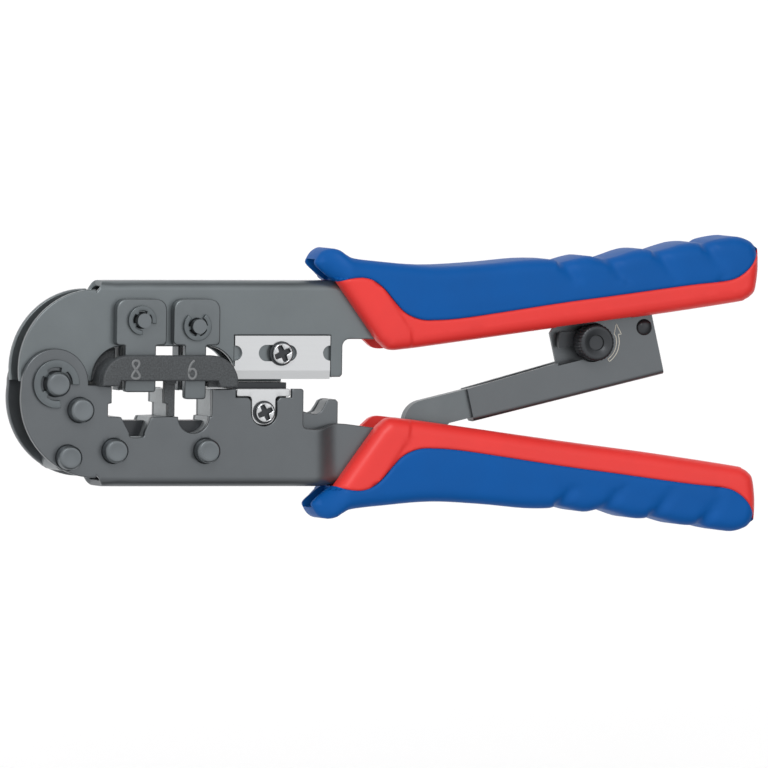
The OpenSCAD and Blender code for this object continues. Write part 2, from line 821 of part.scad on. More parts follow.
// Line between the grip's hard core and its soft cover, from the front to the far end, +Y sense
function seam() = [
    [72.1, spine_y - 0.1], [74.8, spine_y + 0.7], [78.3, spine_y + 0.9], [81.3, spine_y - 0.1],
    [83.8, spine_y - 2.1], [86.4, spine_y - 5.1], [88.9, spine_y - 7.5], [92.4, spine_y - 9],
    [96.3, spine_y - 9.3], [105.3, spine_y - 8.6], [reach - 19, 24.1], [reach - 7.7, 25.3],
    [reach - 4.4, 27], [reach - 2, 29.4], [reach, 30.8]
];

// Hard inner part of one grip: the crowned face with a stop in front
module core_outline() {
    polygon(concat(seam(), [
        [reach - 0.2, 27.3], [reach - 0.8, 23.1], [reach - 2, 21.4], [reach - 5.8, 20],
        [96.7, 9.3], [85.6, 8.3], [82.8, 10.3]
    ]));
}

// Soft outer part of one grip: the lobe in front of the frame and the ribbed back
module cover_outline() {
    s = spine_y;
    e = reach;
    polygon(concat(seam(), [
        [e - 0.9, s + 7.7], [e - 3.1, s + 10.2], [e - 7.1, s + 11.1], [e - 13.4, s + 10.2],
        [e - 16.3, s + 9.2], [e - 18.3, s + 9.5], [e - 22.7, s + 9.2], [e - 29.9, s + 7.4],
        [e - 35.5, s + 7.6], [e - 42, s + 5.6], [e - 46.8, s + 6.2], [e - 52.7, s + 4.8],
        [e - 60.7, s + 5.3], [96.7, s + 3.7], [83.8, s + 4.7], [74.8, s + 5.7], [70.5, s + 8.2],
        [67.1, s + 3.7], [70.1, s + 1.3]
    ]));
}

// Hollow for the frame, the lock and the knob
module grip_hollow(knob_side) {
    slab(-handle_out - fix_gap, handle_out + fix_gap) polygon([
        [60, 0], [60, spine_y], [slope_x, spine_y],
        [frame_end + fix_gap, spine_y + tail_rise], [frame_end + fix_gap, 0]
    ]);
    if (knob_side) slab(0, knob_front + 0.5)
        box2(lock_x - 24, 0, lock_x - 4, tail_edge_y + 0.6);
}

// Sleeve of the core over the frame's spine
module sleeve2(gap) {
    top = sleeve_t + gap;
    polygon([
        [slope_x - gap, spine_y - 6], [slope_x - gap, spine_y + top],
        [frame_end + top, spine_y + tail_rise + top], [frame_end + top, 21], [reach - 30, 19.2], [90, 12]
    ]);
}

module grip_core(knob_side) {
    difference() {
        union() {
            slab(-grip_w / 2, grip_w / 2) core_outline();
            slab(-handle_out - sleeve_t, handle_out + sleeve_t) sleeve2(0);
        }
        grip_hollow(knob_side);
    }
}

module grip_cover(knob_side) {
    inner = handle_out + sleeve_t + fix_gap;
    difference() {
        slab(-grip_w / 2, grip_w / 2) cover_outline();
        slab(-inner, inner) sleeve2(fix_gap);
        grip_hollow(knob_side);
        // Groove between the two lobes in front of the frame
        slab(-3, 3) box2(60, 0, 71, spine_y + 5);
    }
}

module upper_grip_core() {
    color("#E8262B") place() grip_core(true);
}

module upper_grip_cover() {
    color("#0D5AA7") place() grip_cover(true);
}

module lower_grip_core() {
    color("#E8262B") place() mirror([0, 1, 0]) grip_core(false);
}

module lower_grip_cover() {
    color("#0D5AA7") place() mirror([0, 1, 0]) grip_cover(false);
}

lower_frame();
pivot_pin();
pivot_bush();
pivot_clips();
frame_rivets();
frame_spacers();
nest_guide();
nest_divider();
die_block();
latch_anvils();
lower_blade();
lower_blade_screw();
blade_holder();
cable_anvil();
upper_frame();
contact_punch_wide();
contact_punch_narrow();
relief_punch_wide();
relief_punch_narrow();
punch_pins();
punch_clips();
upper_blade();
upper_blade_screw();
blade_nut();
lock_channel();
channel_rivet();
channel_pin();
channel_washers();
lock_rack();
rack_pin();
rack_washers();
return_spring();
release_knob();
knob_spindle();
pawl();
pawl_spring();
upper_grip_core();
upper_grip_cover();
lower_grip_core();
lower_grip_cover();
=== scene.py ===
# %% [markdown]
# # Modular-plug crimping tool
# Folded steel frames, plug nests, punches, cutter blades, two-colour grips and a ratchet link.
# Sizes are in millimetres measured from the hinge pin: X along the handles, Y across the jaws, Z through the
# thickness. `place` turns them into metres in the frame's own axes.

# %% Load the CAD frame
import json
import math
import bmesh
import bpy
import numpy as np
from mathutils import Matrix, Vector
from mathutils.geometry import delaunay_2d_cdt


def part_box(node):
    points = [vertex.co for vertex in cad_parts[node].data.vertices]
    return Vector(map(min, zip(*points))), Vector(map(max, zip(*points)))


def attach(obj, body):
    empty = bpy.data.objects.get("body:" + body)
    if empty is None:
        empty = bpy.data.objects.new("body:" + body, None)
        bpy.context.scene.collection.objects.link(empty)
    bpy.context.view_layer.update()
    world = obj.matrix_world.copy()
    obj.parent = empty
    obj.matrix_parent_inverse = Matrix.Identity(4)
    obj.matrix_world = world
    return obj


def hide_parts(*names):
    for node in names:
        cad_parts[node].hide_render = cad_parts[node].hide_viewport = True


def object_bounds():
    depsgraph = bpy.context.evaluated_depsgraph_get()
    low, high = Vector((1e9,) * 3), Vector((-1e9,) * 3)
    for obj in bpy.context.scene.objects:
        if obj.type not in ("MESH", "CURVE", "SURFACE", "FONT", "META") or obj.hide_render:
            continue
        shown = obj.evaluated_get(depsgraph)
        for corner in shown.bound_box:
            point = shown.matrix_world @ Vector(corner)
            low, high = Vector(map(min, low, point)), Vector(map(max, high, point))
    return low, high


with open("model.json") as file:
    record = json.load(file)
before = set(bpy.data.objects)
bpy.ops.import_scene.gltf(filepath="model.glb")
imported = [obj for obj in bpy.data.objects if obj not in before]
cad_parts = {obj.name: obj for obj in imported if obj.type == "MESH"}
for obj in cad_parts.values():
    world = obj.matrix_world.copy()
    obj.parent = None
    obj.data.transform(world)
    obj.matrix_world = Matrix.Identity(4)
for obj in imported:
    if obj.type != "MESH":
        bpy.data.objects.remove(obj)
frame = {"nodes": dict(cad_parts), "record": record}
cad_low, cad_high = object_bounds()
joints = {j["name"]: j for j in frame["record"]["behaviour"]["joints"]}
hinge = np.array(joints["main_hinge"]["pos_m"]) * 1000
print("CAD box (mm):", [round(1000 * (b - a), 1) for a, b in zip(cad_low, cad_high)])

# %% [markdown]
# ## Shared numbers
# Sizes that a CAD node shows are read back from it, so the model follows the CAD. The two frames are channels of
# one sheet: `W_LOW` and `W_UP` are half their widths, `SPINE` is the height of their spines, `SHEET` the sheet's
# thickness and `BEND` the outer radius of its folds. The grips end at `REACH` and the sheet at `TAIL`. The ratchet
# link has axes of its own, along its slide and across it.

# %% Driving sizes, read back from the CAD where a node shows them
def node_box(name):
    """A CAD node's box in millimetres from the hinge pin."""
    lo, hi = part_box(name)
    return np.array(lo) * 1000 - hinge, np.array(hi) * 1000 - hinge

W_LOW = node_box("lower_frame")[1][2]
W_UP = node_box("upper_frame")[1][2]
SPINE = 24.9
SHEET = 1.6
BEND = 2.4
REACH = node_box("upper_grip_core")[1][0]
TAIL = REACH - 16
LINK_PIN, LINK_RIVET = (49.1, 18.9), (47.8, 12.3)
channel_pin = np.array(joints["channel_hinge"]["pos_m"])[:2] * 1000 - hinge[:2]
knob_at = np.array(joints["release_hinge"]["pos_m"])[:2] * 1000 - hinge[:2]
slide = np.array(joints["rack_slide"]["axis"])[:2]
across = np.array([-slide[1], slide[0]])
link_origin = channel_pin - LINK_PIN[0] * slide - LINK_PIN[1] * across
print("half widths", round(W_LOW, 2), round(W_UP, 2), "reach", round(REACH, 1), "knob", knob_at.round(2))

# %% [markdown]
# ## Mesh helpers
# Every made surface is a numpy grid or a filled plate. A plate's rim is a quarter-round profile carried along its
# outline; its faces are filled with a triangulation of the inset outline.

# %% From points to objects
SHARP = 35

def place(points):
    """Millimetres from the hinge pin to metres in the frame: p / 1000 after adding the pin's place."""
    return (np.asarray(points, float) + hinge) / 1000

def smooth_all(mesh):
    """Smooth shading, with an edge kept sharp where its faces turn by more than SHARP degrees."""
    mesh.polygons.foreach_set("use_smooth", np.ones(len(mesh.polygons), bool))
    mesh.set_sharp_from_angle(angle=math.radians(SHARP))

def add_mesh(name, points, faces, body, material, slot, replaces=()):
    """Makes an object from points in millimetres and lists of corner numbers, and puts it on a body."""
    mesh = bpy.data.meshes.new(name)
    mesh.from_pydata(place(points).tolist(), [], [list(map(int, f)) for f in faces])
    obj = bpy.data.objects.new(name, mesh)
    bpy.context.collection.objects.link(obj)
    bm = bmesh.new()
    bm.from_mesh(mesh)
    bmesh.ops.remove_doubles(bm, verts=bm.verts, dist=2e-7)
    bmesh.ops.recalc_face_normals(bm, faces=bm.faces)
    bm.to_mesh(mesh)
    bm.free()
    mesh.materials.append(material)
    smooth_all(mesh)
    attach(obj, body)
    if replaces:
        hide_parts(*replaces)
    return obj

def grid_faces(rows, cols):
    """Quads of a grid of points: corner (r, c) joins (r, c + 1) and (r + 1, c); each row closes on itself."""
    r, c = np.meshgrid(np.arange(rows - 1), np.arange(cols), indexing="ij")
    n = (c + 1) % cols
    return np.stack([r * cols + c, r * cols + n, (r + 1) * cols + n, (r + 1) * cols + c], -1).reshape(-1, 4)

# %% Outline helpers
def arc(cx, cy, r, a0, a1, n=12, ry=None):
    """Points c + r (cos a, sin a) for a from a0 to a1 degrees."""
    a = np.radians(np.linspace(a0, a1, n))
    return np.stack([cx + r * np.cos(a), cy + (ry or r) * np.sin(a)], 1)

def outline(*parts):
    """Joins points and arcs into one closed loop and turns it anticlockwise."""
    loop = np.concatenate([np.atleast_2d(np.asarray(p, float)) for p in parts])
    keep = np.linalg.norm(loop - np.roll(loop, 1, 0), axis=1) > 1e-4
    loop = loop[keep]
    x, y = loop.T
    return loop if (x * np.roll(y, -1) - y * np.roll(x, -1)).sum() > 0 else loop[::-1]

def rect(x0, y0, x1, y1):
    """The four corners of a rectangle."""
    return outline([(x0, y0), (x1, y0), (x1, y1), (x0, y1)])

def rounded(loop, r, n=5):
    """Rounds each corner by the parabola (1 - t)^2 p0 + 2 t (1 - t) c + t^2 p1 between its two cut points, which
    lie r / tan(half the corner's angle) from it."""
    loop = np.asarray(loop, float)
    before, after = np.roll(loop, 1, 0) - loop, np.roll(loop, -1, 0) - loop
    lb, la = np.linalg.norm(before, axis=1), np.linalg.norm(after, axis=1)
    b, a = before / lb[:, None], after / la[:, None]
    half = np.arccos(np.clip((b * a).sum(1), -1, 1)) / 2
    radius = np.broadcast_to(r, len(loop)).astype(float)
    cut = np.minimum(radius / np.tan(np.maximum(half, 1e-3)), 0.48 * np.minimum(lb, la))
    t = np.linspace(0, 1, n)[None, :, None]
    p0, p1 = (loop + b * cut[:, None])[:, None], (loop + a * cut[:, None])[:, None]
    curve = (1 - t) ** 2 * p0 + 2 * t * (1 - t) * loop[:, None] + t ** 2 * p1
    return outline(curve.reshape(-1, 2))

def dense(loop, step):
    """Adds points so that no side of the loop is longer than step."""
    sides = np.roll(loop, -1, 0) - loop
    count = np.maximum(1, np.ceil(np.linalg.norm(sides, axis=1) / step)).astype(int)
    index = np.repeat(np.arange(len(loop)), count)
    share = np.concatenate([np.arange(c) / c for c in count])
    return loop[index] + sides[index] * share[:, None]

def side_normals(loop):
    """Outward mitre directions of an anticlockwise loop, lengthened at corners to keep an even inset."""
    d = np.roll(loop, -1, 0) - loop
    d /= np.linalg.norm(d, axis=1)[:, None]
    n = np.stack([d[:, 1], -d[:, 0]], 1)
    m = n + np.roll(n, 1, 0)
    m /= np.maximum(np.linalg.norm(m, axis=1), 1e-6)[:, None]
    return m / np.maximum((m * n).sum(1), 0.5)[:, None]

def inside(points, loops):
    """True where a point is inside an odd number of loops (ray crossing count)."""
    hits = np.zeros(len(points), int)
    for loop in loops:
        a, b = loop, np.roll(loop, -1, 0)
        y = points[:, 1][:, None]
        cross = (a[:, 1] > y) != (b[:, 1] > y)
        dy = np.where(b[:, 1] == a[:, 1], 1e-12, b[:, 1] - a[:, 1])
        x = a[:, 0] + (y - a[:, 1]) * (b[:, 0] - a[:, 0]) / dy
        hits += (cross & (points[:, 0][:, None] < x)).sum(1)
    return hits % 2 == 1

def fill(loops, extra=None):
    """Triangles that fill loops[0] less the others, and the points they use."""
    points = np.concatenate(list(loops) + ([extra] if extra is not None and len(extra) else []))
    edges, start = [], 0
    for loop in loops:
        n = len(loop)
        edges += [(start + i, start + (i + 1) % n) for i in range(n)]
        start += n
    out, _, tris, *_ = delaunay_2d_cdt([Vector(p) for p in points], edges, [], 0, 1e-6)
    out = np.array([tuple(p) for p in out])
    tris = np.array(tris)
    mid = out[tris].mean(1)
    return out, tris[inside(mid, loops)]

# %% Plates, turned parts and tubes
def plate(name, loops, z0, z1, body, material, slot, edge=0.15, step=1.5, bend=None, lattice=None,
          replaces=()):
    """A plate between z0 and z1 with rounded edges. For edge angle a, the rim is inset e(1 - cos a) at
    depth e(1 - sin a). bend(x, y, depth) may fold it; lattice adds points inside."""
    loops = [dense(np.asarray(l, float), step) for l in loops]
    points, faces, count = [], [], 0
    a = np.radians([90, 60, 30, 0])
    inset = np.concatenate([edge * (1 - np.cos(a)), edge * (1 - np.cos(a[::-1]))])
    depth = np.concatenate([z0 + edge * (1 - np.sin(a)), z1 - edge * (1 - np.sin(a[::-1]))])
    tops = []
    for k, loop in enumerate(loops):
        normal = side_normals(loop) * (1 if k == 0 else -1)
        ring = loop[None] - normal[None] * inset[:, None, None]
        z = np.broadcast_to(depth[:, None, None], ring.shape[:2] + (1,))
        points.append(np.concatenate([ring, z], 2).reshape(-1, 3))
        faces += (grid_faces(len(inset), len(loop)) + count).tolist()
        count += ring.shape[0] * ring.shape[1]
        tops.append(ring[0])
    extra = None
    if lattice is not None:
        extra = lattice[inside(lattice, tops)]
        near = np.concatenate(tops)
        gap = np.array([np.abs(near - p).max(1).min() for p in extra]) if len(extra) else np.zeros(0)
        extra = extra[gap > 0.25]
    flat, tris = fill(tops, extra)
    for z, flip in ((z0, True), (z1, False)):
        points.append(np.column_stack([flat, np.full(len(flat), z)]))
        faces += ((tris[:, ::-1] if flip else tris) + count).tolist()
        count += len(flat)
    points = np.concatenate(points)
    if bend is not None:
        points = bend(points)
    obj = add_mesh(name, points, faces, body, material, slot, replaces=replaces)
    weigh(obj)
    return obj

def weigh(obj):
    """Lets the large flat faces keep their own shading next to small rounded edges."""
    modifier = obj.modifiers.new("Weighted normals", "WEIGHTED_NORMAL")
    modifier.keep_sharp = True
    modifier.weight = 100

def turned(name, at, profile, body, material, slot, sides=64, knurl=None, replaces=()):
    """A turned part: rings (r cos a, r sin a, z) for each (r, z) of the profile; a pole's points merge. With a
    knurl, each radius gains knurl(a) times the profile's third column."""
    profile = np.asarray(profile, float)
    a = np.linspace(0, 2 * np.pi, sides, endpoint=False)
    r = np.repeat(profile[:, :1], sides, 1)
    if knurl is not None:
        r = r + knurl(a)[None] * profile[:, 2:3]
    points = np.stack([at[0] + r * np.cos(a), at[1] + r * np.sin(a), np.repeat(profile[:, 1:2], sides, 1)], 2)
    faces = grid_faces(len(profile), sides).tolist()
    return add_mesh(name, points.reshape(-1, 3), faces, body, material, slot, replaces=replaces)

def tube(name, path, radius, body, material, slot, sides=8, closed=False, squash=1.0, replaces=()):
    """A wire along a path: c + r (cos b N + squash sin b B), with N and B square to the path."""
    path = np.asarray(path, float)
    t = np.roll(path, -1, 0) - np.roll(path, 1, 0) if closed else np.gradient(path, axis=0)
    t /= np.linalg.norm(t, axis=1)[:, None]
    up = np.where(np.abs(t[:, 2:3]) > 0.9, [[1.0, 0, 0]], [[0, 0, 1.0]])
    n = np.cross(up, t)
    n /= np.linalg.norm(n, axis=1)[:, None]
    b = np.cross(t, n)
    a = np.linspace(0, 2 * np.pi, sides, endpoint=False)[None, :, None]
    points = path[:, None] + radius * (np.cos(a) * n[:, None] + squash * np.sin(a) * b[:, None])
    if closed:
        points = np.concatenate([points, points[:1]])
    else:
        points = np.concatenate([path[:1, None].repeat(sides, 1), points, path[-1:, None].repeat(sides, 1)])
    return add_mesh(name, points.reshape(-1, 3), grid_faces(len(points), sides), body, material, slot,
                    replaces=replaces)

# %% [markdown]
# ## Materials
# The real tool is blackened steel with brushed dies and blades, a grained black guide and two moulded grips. Each
# finish is procedural, so it needs no image: a base colour that drifts slightly, gloss that varies, and fine bumps.
# One shared node group turns object coordinates into masks of grain, brushing and smudges, so that all the
# finishes wear in the same way and each only sets its own strengths.

# %% Shared mask group
def mask_group():
    """A node group: object coordinates in, Grain, Brush and Smudge masks out."""
    group = bpy.data.node_groups.new("Surface masks", "ShaderNodeTree")
    for label in ("Grain", "Brush", "Smudge"):
        group.interface.new_socket(label, in_out="OUTPUT", socket_type="NodeSocketFloat")
    nodes, links = group.nodes, group.links
    coords = nodes.new("ShaderNodeTexCoord")
    out = nodes.new("NodeGroupOutput")
    for label, scale, detail, stretch in (("Grain", 2600, 3, (1, 1, 1)), ("Brush", 900, 4, (0.05, 1, 1)),
                                          ("Smudge", 70, 5, (1, 1, 1))):
        mapping = nodes.new("ShaderNodeMapping")
        mapping.inputs["Scale"].default_value = stretch
        noise = nodes.new("ShaderNodeTexNoise")
        noise.inputs["Scale"].default_value = scale
        noise.inputs["Detail"].default_value = detail
        noise.inputs["Roughness"].default_value = 0.6
        links.new(coords.outputs["Object"], mapping.inputs["Vector"])
        links.new(mapping.outputs["Vector"], noise.inputs["Vector"])
        links.new(noise.outputs["Fac"], out.inputs[label])
    return group

masks = mask_group()
print("mask outputs:", [item.name for item in masks.interface.items_tree])

MASK_LOW, MASK_HIGH = 0.3, 0.7

def finish(name, colour, rough, metal, mask="Smudge", drift=0.12, rough_drift=0.12, bump_mask="Grain", bump=0.1,
           depth=2e-5, spec=0.5):
    """A Principled finish. Colour and roughness go from (1 - drift) to (1 + drift) times their value as one mask
    goes from MASK_LOW to MASK_HIGH; the bumps follow another mask."""
    material = bpy.data.materials.new(name)
    material.use_nodes = True
    nodes, links = material.node_tree.nodes, material.node_tree.links
    shader = nodes["Principled BSDF"]
    shader.inputs["Metallic"].default_value = metal
    shader.inputs["Specular IOR Level"].default_value = spec
    group = nodes.new("ShaderNodeGroup")
    group.node_tree = masks
    ramp = nodes.new("ShaderNodeValToRGB")
    ramp.color_ramp.elements[0].position = MASK_LOW
    ramp.color_ramp.elements[1].position = MASK_HIGH
    ramp.color_ramp.elements[0].color = [*(c * (1 - drift) for c in colour), 1]
    ramp.color_ramp.elements[1].color = [*(min(1, c * (1 + drift)) for c in colour), 1]
    links.new(group.outputs[mask], ramp.inputs["Fac"])
    links.new(ramp.outputs["Color"], shader.inputs["Base Color"])
    spread = nodes.new("ShaderNodeMapRange")
    spread.inputs["From Min"].default_value = MASK_LOW
    spread.inputs["From Max"].default_value = MASK_HIGH
    spread.inputs["To Min"].default_value = rough * (1 - rough_drift)
    spread.inputs["To Max"].default_value = min(1, rough * (1 + rough_drift))
    links.new(group.outputs[mask], spread.inputs["Value"])
    links.new(spread.outputs["Result"], shader.inputs["Roughness"])
    height = nodes.new("ShaderNodeBump")
    height.inputs["Strength"].default_value = bump
    height.inputs["Distance"].default_value = depth
    links.new(group.outputs[bump_mask], height.inputs["Height"])
    links.new(height.outputs["Normal"], shader.inputs["Normal"])
    return material

# %% The finishes
UPPER_STEEL = finish("Upper frame steel", (0.15, 0.168, 0.176), 0.36, 0.8, drift=0.07, bump_mask="Smudge")
LOWER_STEEL = finish("Lower frame steel", (0.12, 0.13, 0.138), 0.36, 0.8, drift=0.07, bump_mask="Smudge")
PIN_STEEL = finish("Pin steel", (0.145, 0.16, 0.17), 0.34, 0.85, rough_drift=0.25)
CLIP_STEEL = finish("Clip steel", (0.12, 0.135, 0.143), 0.32, 0.85)
DIE_STEEL = finish("Die steel", (0.33, 0.35, 0.36), 0.42, 0.6, mask="Brush", bump_mask="Brush", bump=0.2)
PUNCH_STEEL = finish("Punch steel", (0.14, 0.155, 0.163), 0.38, 0.8)
# Dark steel is the own colour of the knob, channel rivet, pawl, latch anvils and blade holder, and painted shade on
# the screws' shank tops and rings.
DARK_STEEL_AND_PAINTED_SHADE = finish("Dark steel and painted shade", (0.035, 0.038, 0.042), 0.3, 0.6)
BLADE_STEEL = finish("Blade steel", (0.56, 0.57, 0.58), 0.36, 0.85, mask="Brush", drift=0.03, bump_mask="Brush",
                     bump=0.05)
SCREW_STEEL = finish("Screw steel", (0.5, 0.51, 0.52), 0.2, 1.0, drift=0.05)
GUIDE_PLASTIC = finish("Guide plastic", (0.055, 0.06, 0.064), 0.5, 0.0, mask="Grain", drift=0.35, bump=0.8,
                       depth=1.4e-4, spec=0.35)
RED_PLASTIC = finish("Red plastic", (0.7, 0.034, 0.03), 0.38, 0.0, drift=0.04, bump=0.06, spec=0.32)
BLUE_RUBBER = finish("Blue rubber", (0.001, 0.079, 0.305), 0.5, 0.0, drift=0.05, bump=0.22, spec=0.14)
SPRING_WIRE = finish("Spring wire", (0.5, 0.52, 0.54), 0.3, 1.0)
print("finishes:", len(bpy.data.materials))

# %% [markdown]
# ## Folded frames
# A real frame is stamped flat as one blank, with front plate, spine and rear plate side by side, and then folded.
# It could be three plates with rounded corners between them, but a folded blank gives the spine's slanted start and
# the step in width for nothing. `fold_channel` wraps the blank round the spine: the middle strip stays flat, two
# strips of length pi / 2 times `BEND` become bends, and the rest hang as plates.

# %% Fold a blank into a channel
RISE_X, RISE = 76, 5.6
STEP_X, STEP_LENGTH = 67.0, 6.4

def spine_height(x):
    """The spine is level up to RISE_X and then climbs by RISE on the way to TAIL."""
    return SPINE + RISE * np.clip((x - RISE_X) / (TAIL - RISE_X), 0, 1.2)

def fold_channel(half_width, sign):
    """Returns a map of (x, t, depth), where t is measured from the spine's middle, positive to the front. Past the
    flat strip, a = (|t| - w + BEND) / BEND turns the sheet: height falls with cos a and z grows with sin a."""
    def bend(p):
        x, t, d = p[:, 0], p[:, 1], p[:, 2]
        w = half_width(x)
        side, u = np.sign(t), np.abs(t) - (w - BEND)
        arc_len = BEND * np.pi / 2
        a = np.clip(u / BEND, 0, np.pi / 2)
        r = BEND - d
        hang = spine_height(x) - BEND + r * np.cos(a) - np.maximum(u - arc_len, 0)
        y = np.where(u < 0, spine_height(x) - d, hang)
        z = np.where(u < 0, np.abs(t), w - BEND + r * np.sin(a))
        return np.stack([x, sign * y, side * z], 1)
    return bend

def to_blank(loop, half_width):
    """Turns a plate outline (x, distance from the closing line) into blank coordinates (x, t)."""
    x, y = np.asarray(loop, float).T
    t = half_width(x) - BEND + BEND * np.pi / 2 + spine_height(x) - BEND - y
    return np.stack([x, t], 1)

def wide(x):
    """Half width of the lower frame: W_LOW at the jaws, easing to W_UP over the step by s^2 (3 - 2 s)."""
    s = np.clip((x - STEP_X) / STEP_LENGTH, 0, 1)
    return W_LOW - (W_LOW - W_UP) * s * s * (3 - 2 * s)

def narrow(x):
    """Half width of the upper frame: W_UP at every x."""
    return W_UP + 0 * x

def blank_lattice(half_width, x1):
    """Points along the two bends and the step, so that the blank can follow them; the rows lean a little, which
    spares the triangulation from ties."""
    w = half_width(np.array([20.0]))[0]
    t = np.concatenate([w - BEND + BEND * np.radians(np.arange(0, 91, 11.25)), [w + 6, w + 12, w + 18, w + 24]])
    x = np.concatenate([np.arange(12, 66, 4.5), np.arange(66, 75, 0.9), np.arange(76, x1, 6)])
    gx, gt = np.meshgrid(x, np.concatenate([-t, t]))
    return np.stack([gx.ravel() + 0.013 * gt.ravel(), gt.ravel()], 1)

print("handle climbs", RISE, "from", RISE_X, "to", round(TAIL, 1))

# %% [markdown]
# ## Frame outlines
# Both frames are drawn by one convention: X along the tool and the distance from the line on which the jaws close.
# The lower frame is then turned over by the fold's sign. What both share, such as the nose round the hinge and the
# slanted start of the spine, is a function, and each frame adds its own edges.

# %% Shared pieces of outline
NOSE_X, NOSE_Y = 10.7, 3.4
EDGE = SPINE - 2.1
NOSE_R = EDGE - NOSE_Y

NOSE_END = 0.6

def nose():
    """The rounded nose, from its top round to the height NOSE_END on the left."""
    a1 = 180 - math.degrees(math.asin((NOSE_END - NOSE_Y) / NOSE_R))
    return arc(NOSE_X, NOSE_Y, NOSE_R, 90, a1, 26)

def spine_end(top):
    """The slanted start of the spine in the blank, from the middle out to the plate's edge: X 10.9 + 1.7 s^0.7 at
    the distance top - 3.6 s, for s from 1 to 0."""
    s = np.linspace(0, 1, 9)[::-1]
    return np.stack([10.9 + 1.7 * s ** 0.7, top - 3.6 * s], 1)

def hole(x, y, r, n=40):
    """A round hole."""
    return outline(arc(x, y, r, 0, 360, n + 1)[:-1])

def whole_blank(left, front, rear, half_width):
    """Joins the front plate, spine and rear plate into one outline in blank coordinates."""
    a = to_blank(np.concatenate([left, front]), half_width)
    b = to_blank(np.concatenate([left, rear]), half_width) * [1, -1]
    top = half_width(np.array([12.0]))[0] - BEND + BEND * np.pi / 2 + 0.4
    return outline(spine_end(top), a, b[::-1], spine_end(top)[::-1] * [1, -1])

def pin_holes(places, half_width, sign):
    """Holes of radius r at each (x, y, r), through the front plate and the rear one."""
    found = []
    for x, y, r in places:
        for side in (1, -1):
            centre = to_blank([(x, sign * y)], half_width)[0] * [1, side]
            found.append(hole(centre[0], centre[1], r))
    return found

# %% [markdown]
# ## Lower frame
# The wide channel carries the nests. Its front plate has a pocket for the lower blade and a shoulder in front of
# the grip; its rear plate has the cable rest in that place. A nest is a slot with latch notches, drawn here point
# by point, because its corners are what a plug's latch meets.

# %% Edges of the lower plates
RIVETS = [(6.23, -6.33), (3.3, -17.8), (15.1, -16.2), (38.7, -16.2)]
LOWER_HANDLE = [(84, 10.9), (98.5, 11.9), (128, 17.2), (148, 17.2), (TAIL, 20.5)]

def nest_edge(land):
    """The jaw edge of the lower plates from left to right, dipping into both nests, with or without the land
    between them; distances below the closing line."""
    between = [(28.9, 4.9), (27.9, 4.7), (27.9, 1.2), (30.7, 1.2), (30.7, 7.9)] if land else [(30.7, 7.95)]
    return np.concatenate([
        [(14.5, 0.5), (14.5, 4.7), (13.6, 4.9), (13.6, 7.9)], [(16.7, 8.0), (17.0, 8.1)],
        arc(19.9, 12.2, 0.8, 200, 90, 5), [(22.4, 13.0)], arc(22.2, 12.2, 0.8, 90, -20, 5),
        [(24.7, 8.1), (25.0, 8.0), (28.9, 7.9)], between,
        [(31.5, 8.0)], arc(35.6, 8.0, 4.0, 180, 0, 17), [(40.3, 7.9), (40.3, 1.2)]])

def lower_front():
    """Front plate: jaw edge with nests, blade pocket, shoulder and handle."""
    blade = [(46.4, 1.2), (46.4, 3.3), (49.6, 3.3), (50.4, 4.2), (50.4, 6.9)]
    blade += arc(53.7, 6.9, 3.3, 180, 0, 15).tolist() + [(57.0, 4.2), (57.8, 3.3), (60.8, 3.3), (60.8, 1.2)]
    shoulder = arc(63.2, 1.8, 0.6, -90, 0, 4).tolist() + [(63.8, 9.8)]
    shoulder += arc(64.9, 9.8, 1.1, 180, 90, 5).tolist()
    return np.concatenate([nest_edge(False), blade, shoulder, LOWER_HANDLE])

SCOOP = [(63.6, 5.6), (64.6, 6.7), (66.5, 7.2), (68.3, 7.5), (69.5, 6.9), (70.3, 5.6), (70.9, 4.4), (71.8, 3.9),
         (73.3, 3.9), (73.9, 4.5)]

def lower_rear():
    """Rear plate: the same edge, with the cable rest in place of the shoulder."""
    rest = [(62.4, 1.2)] + SCOOP + [(74.3, 9.8), (75.4, 10.7)]
    return np.concatenate([nest_edge(True), [(58.4, 1.2)], rest, LOWER_HANDLE])

# %% Lower frame and its cable rest
LOWER_EAR, LOWER_PIN_HOLE, RIVET_HOLE = 8.5, 3.03, 2.98
lower_left = np.concatenate([nose(), arc(0, 0, LOWER_EAR, 178, 362, 26)])
lower_blank = whole_blank(lower_left, lower_front(), lower_rear(), wide)
holes = pin_holes([(0, 0, LOWER_PIN_HOLE)] + [(x, y, RIVET_HOLE) for x, y in RIVETS], wide, -1)
lower_frame = plate("lower_frame_sheet", [lower_blank] + holes, 0, SHEET, "lower", LOWER_STEEL, "lower_steel",
                    edge=0.3, step=1.2, bend=fold_channel(wide, -1), lattice=blank_lattice(wide, TAIL),
                    replaces=("lower_frame",))
lo, hi = node_box("cable_anvil")
block = outline([(73.9, -13.5), (63.9, -13.5), (63.9, -6.4)], np.array(SCOOP[1:]) * [1, -1])
plate("cable_anvil_block", [block], lo[2], hi[2], "lower", LOWER_STEEL, "lower_steel", edge=0.3, step=0.8,
      replaces=("cable_anvil",))
print("lower frame faces", len(lower_frame.data.polygons))

# %% [markdown]
# ## Upper frame
# The narrow channel sits inside the lower one. Two quarter ellipses and a level top make the window over the nest
# guide, and a pocket takes the upper blade.

# %% Upper frame
WIDE_PIN, NARROW_PIN = (21.6, 15.4), (35.8, 14)
UPPER_EAR, UPPER_PIN_HOLE, PUNCH_PIN_HOLE = 5.2, 3.06, 1.79

def window():
    """The window over the guide, from left to right: two quarter ellipses joined by a level top."""
    return np.concatenate([[(9.9, 0.5)], arc(17.5, 1.0, 7.6, 180, 90, 12, ry=8.0),
                           arc(39.6, 1.0, 7.4, 90, 24, 10, ry=8.0)])

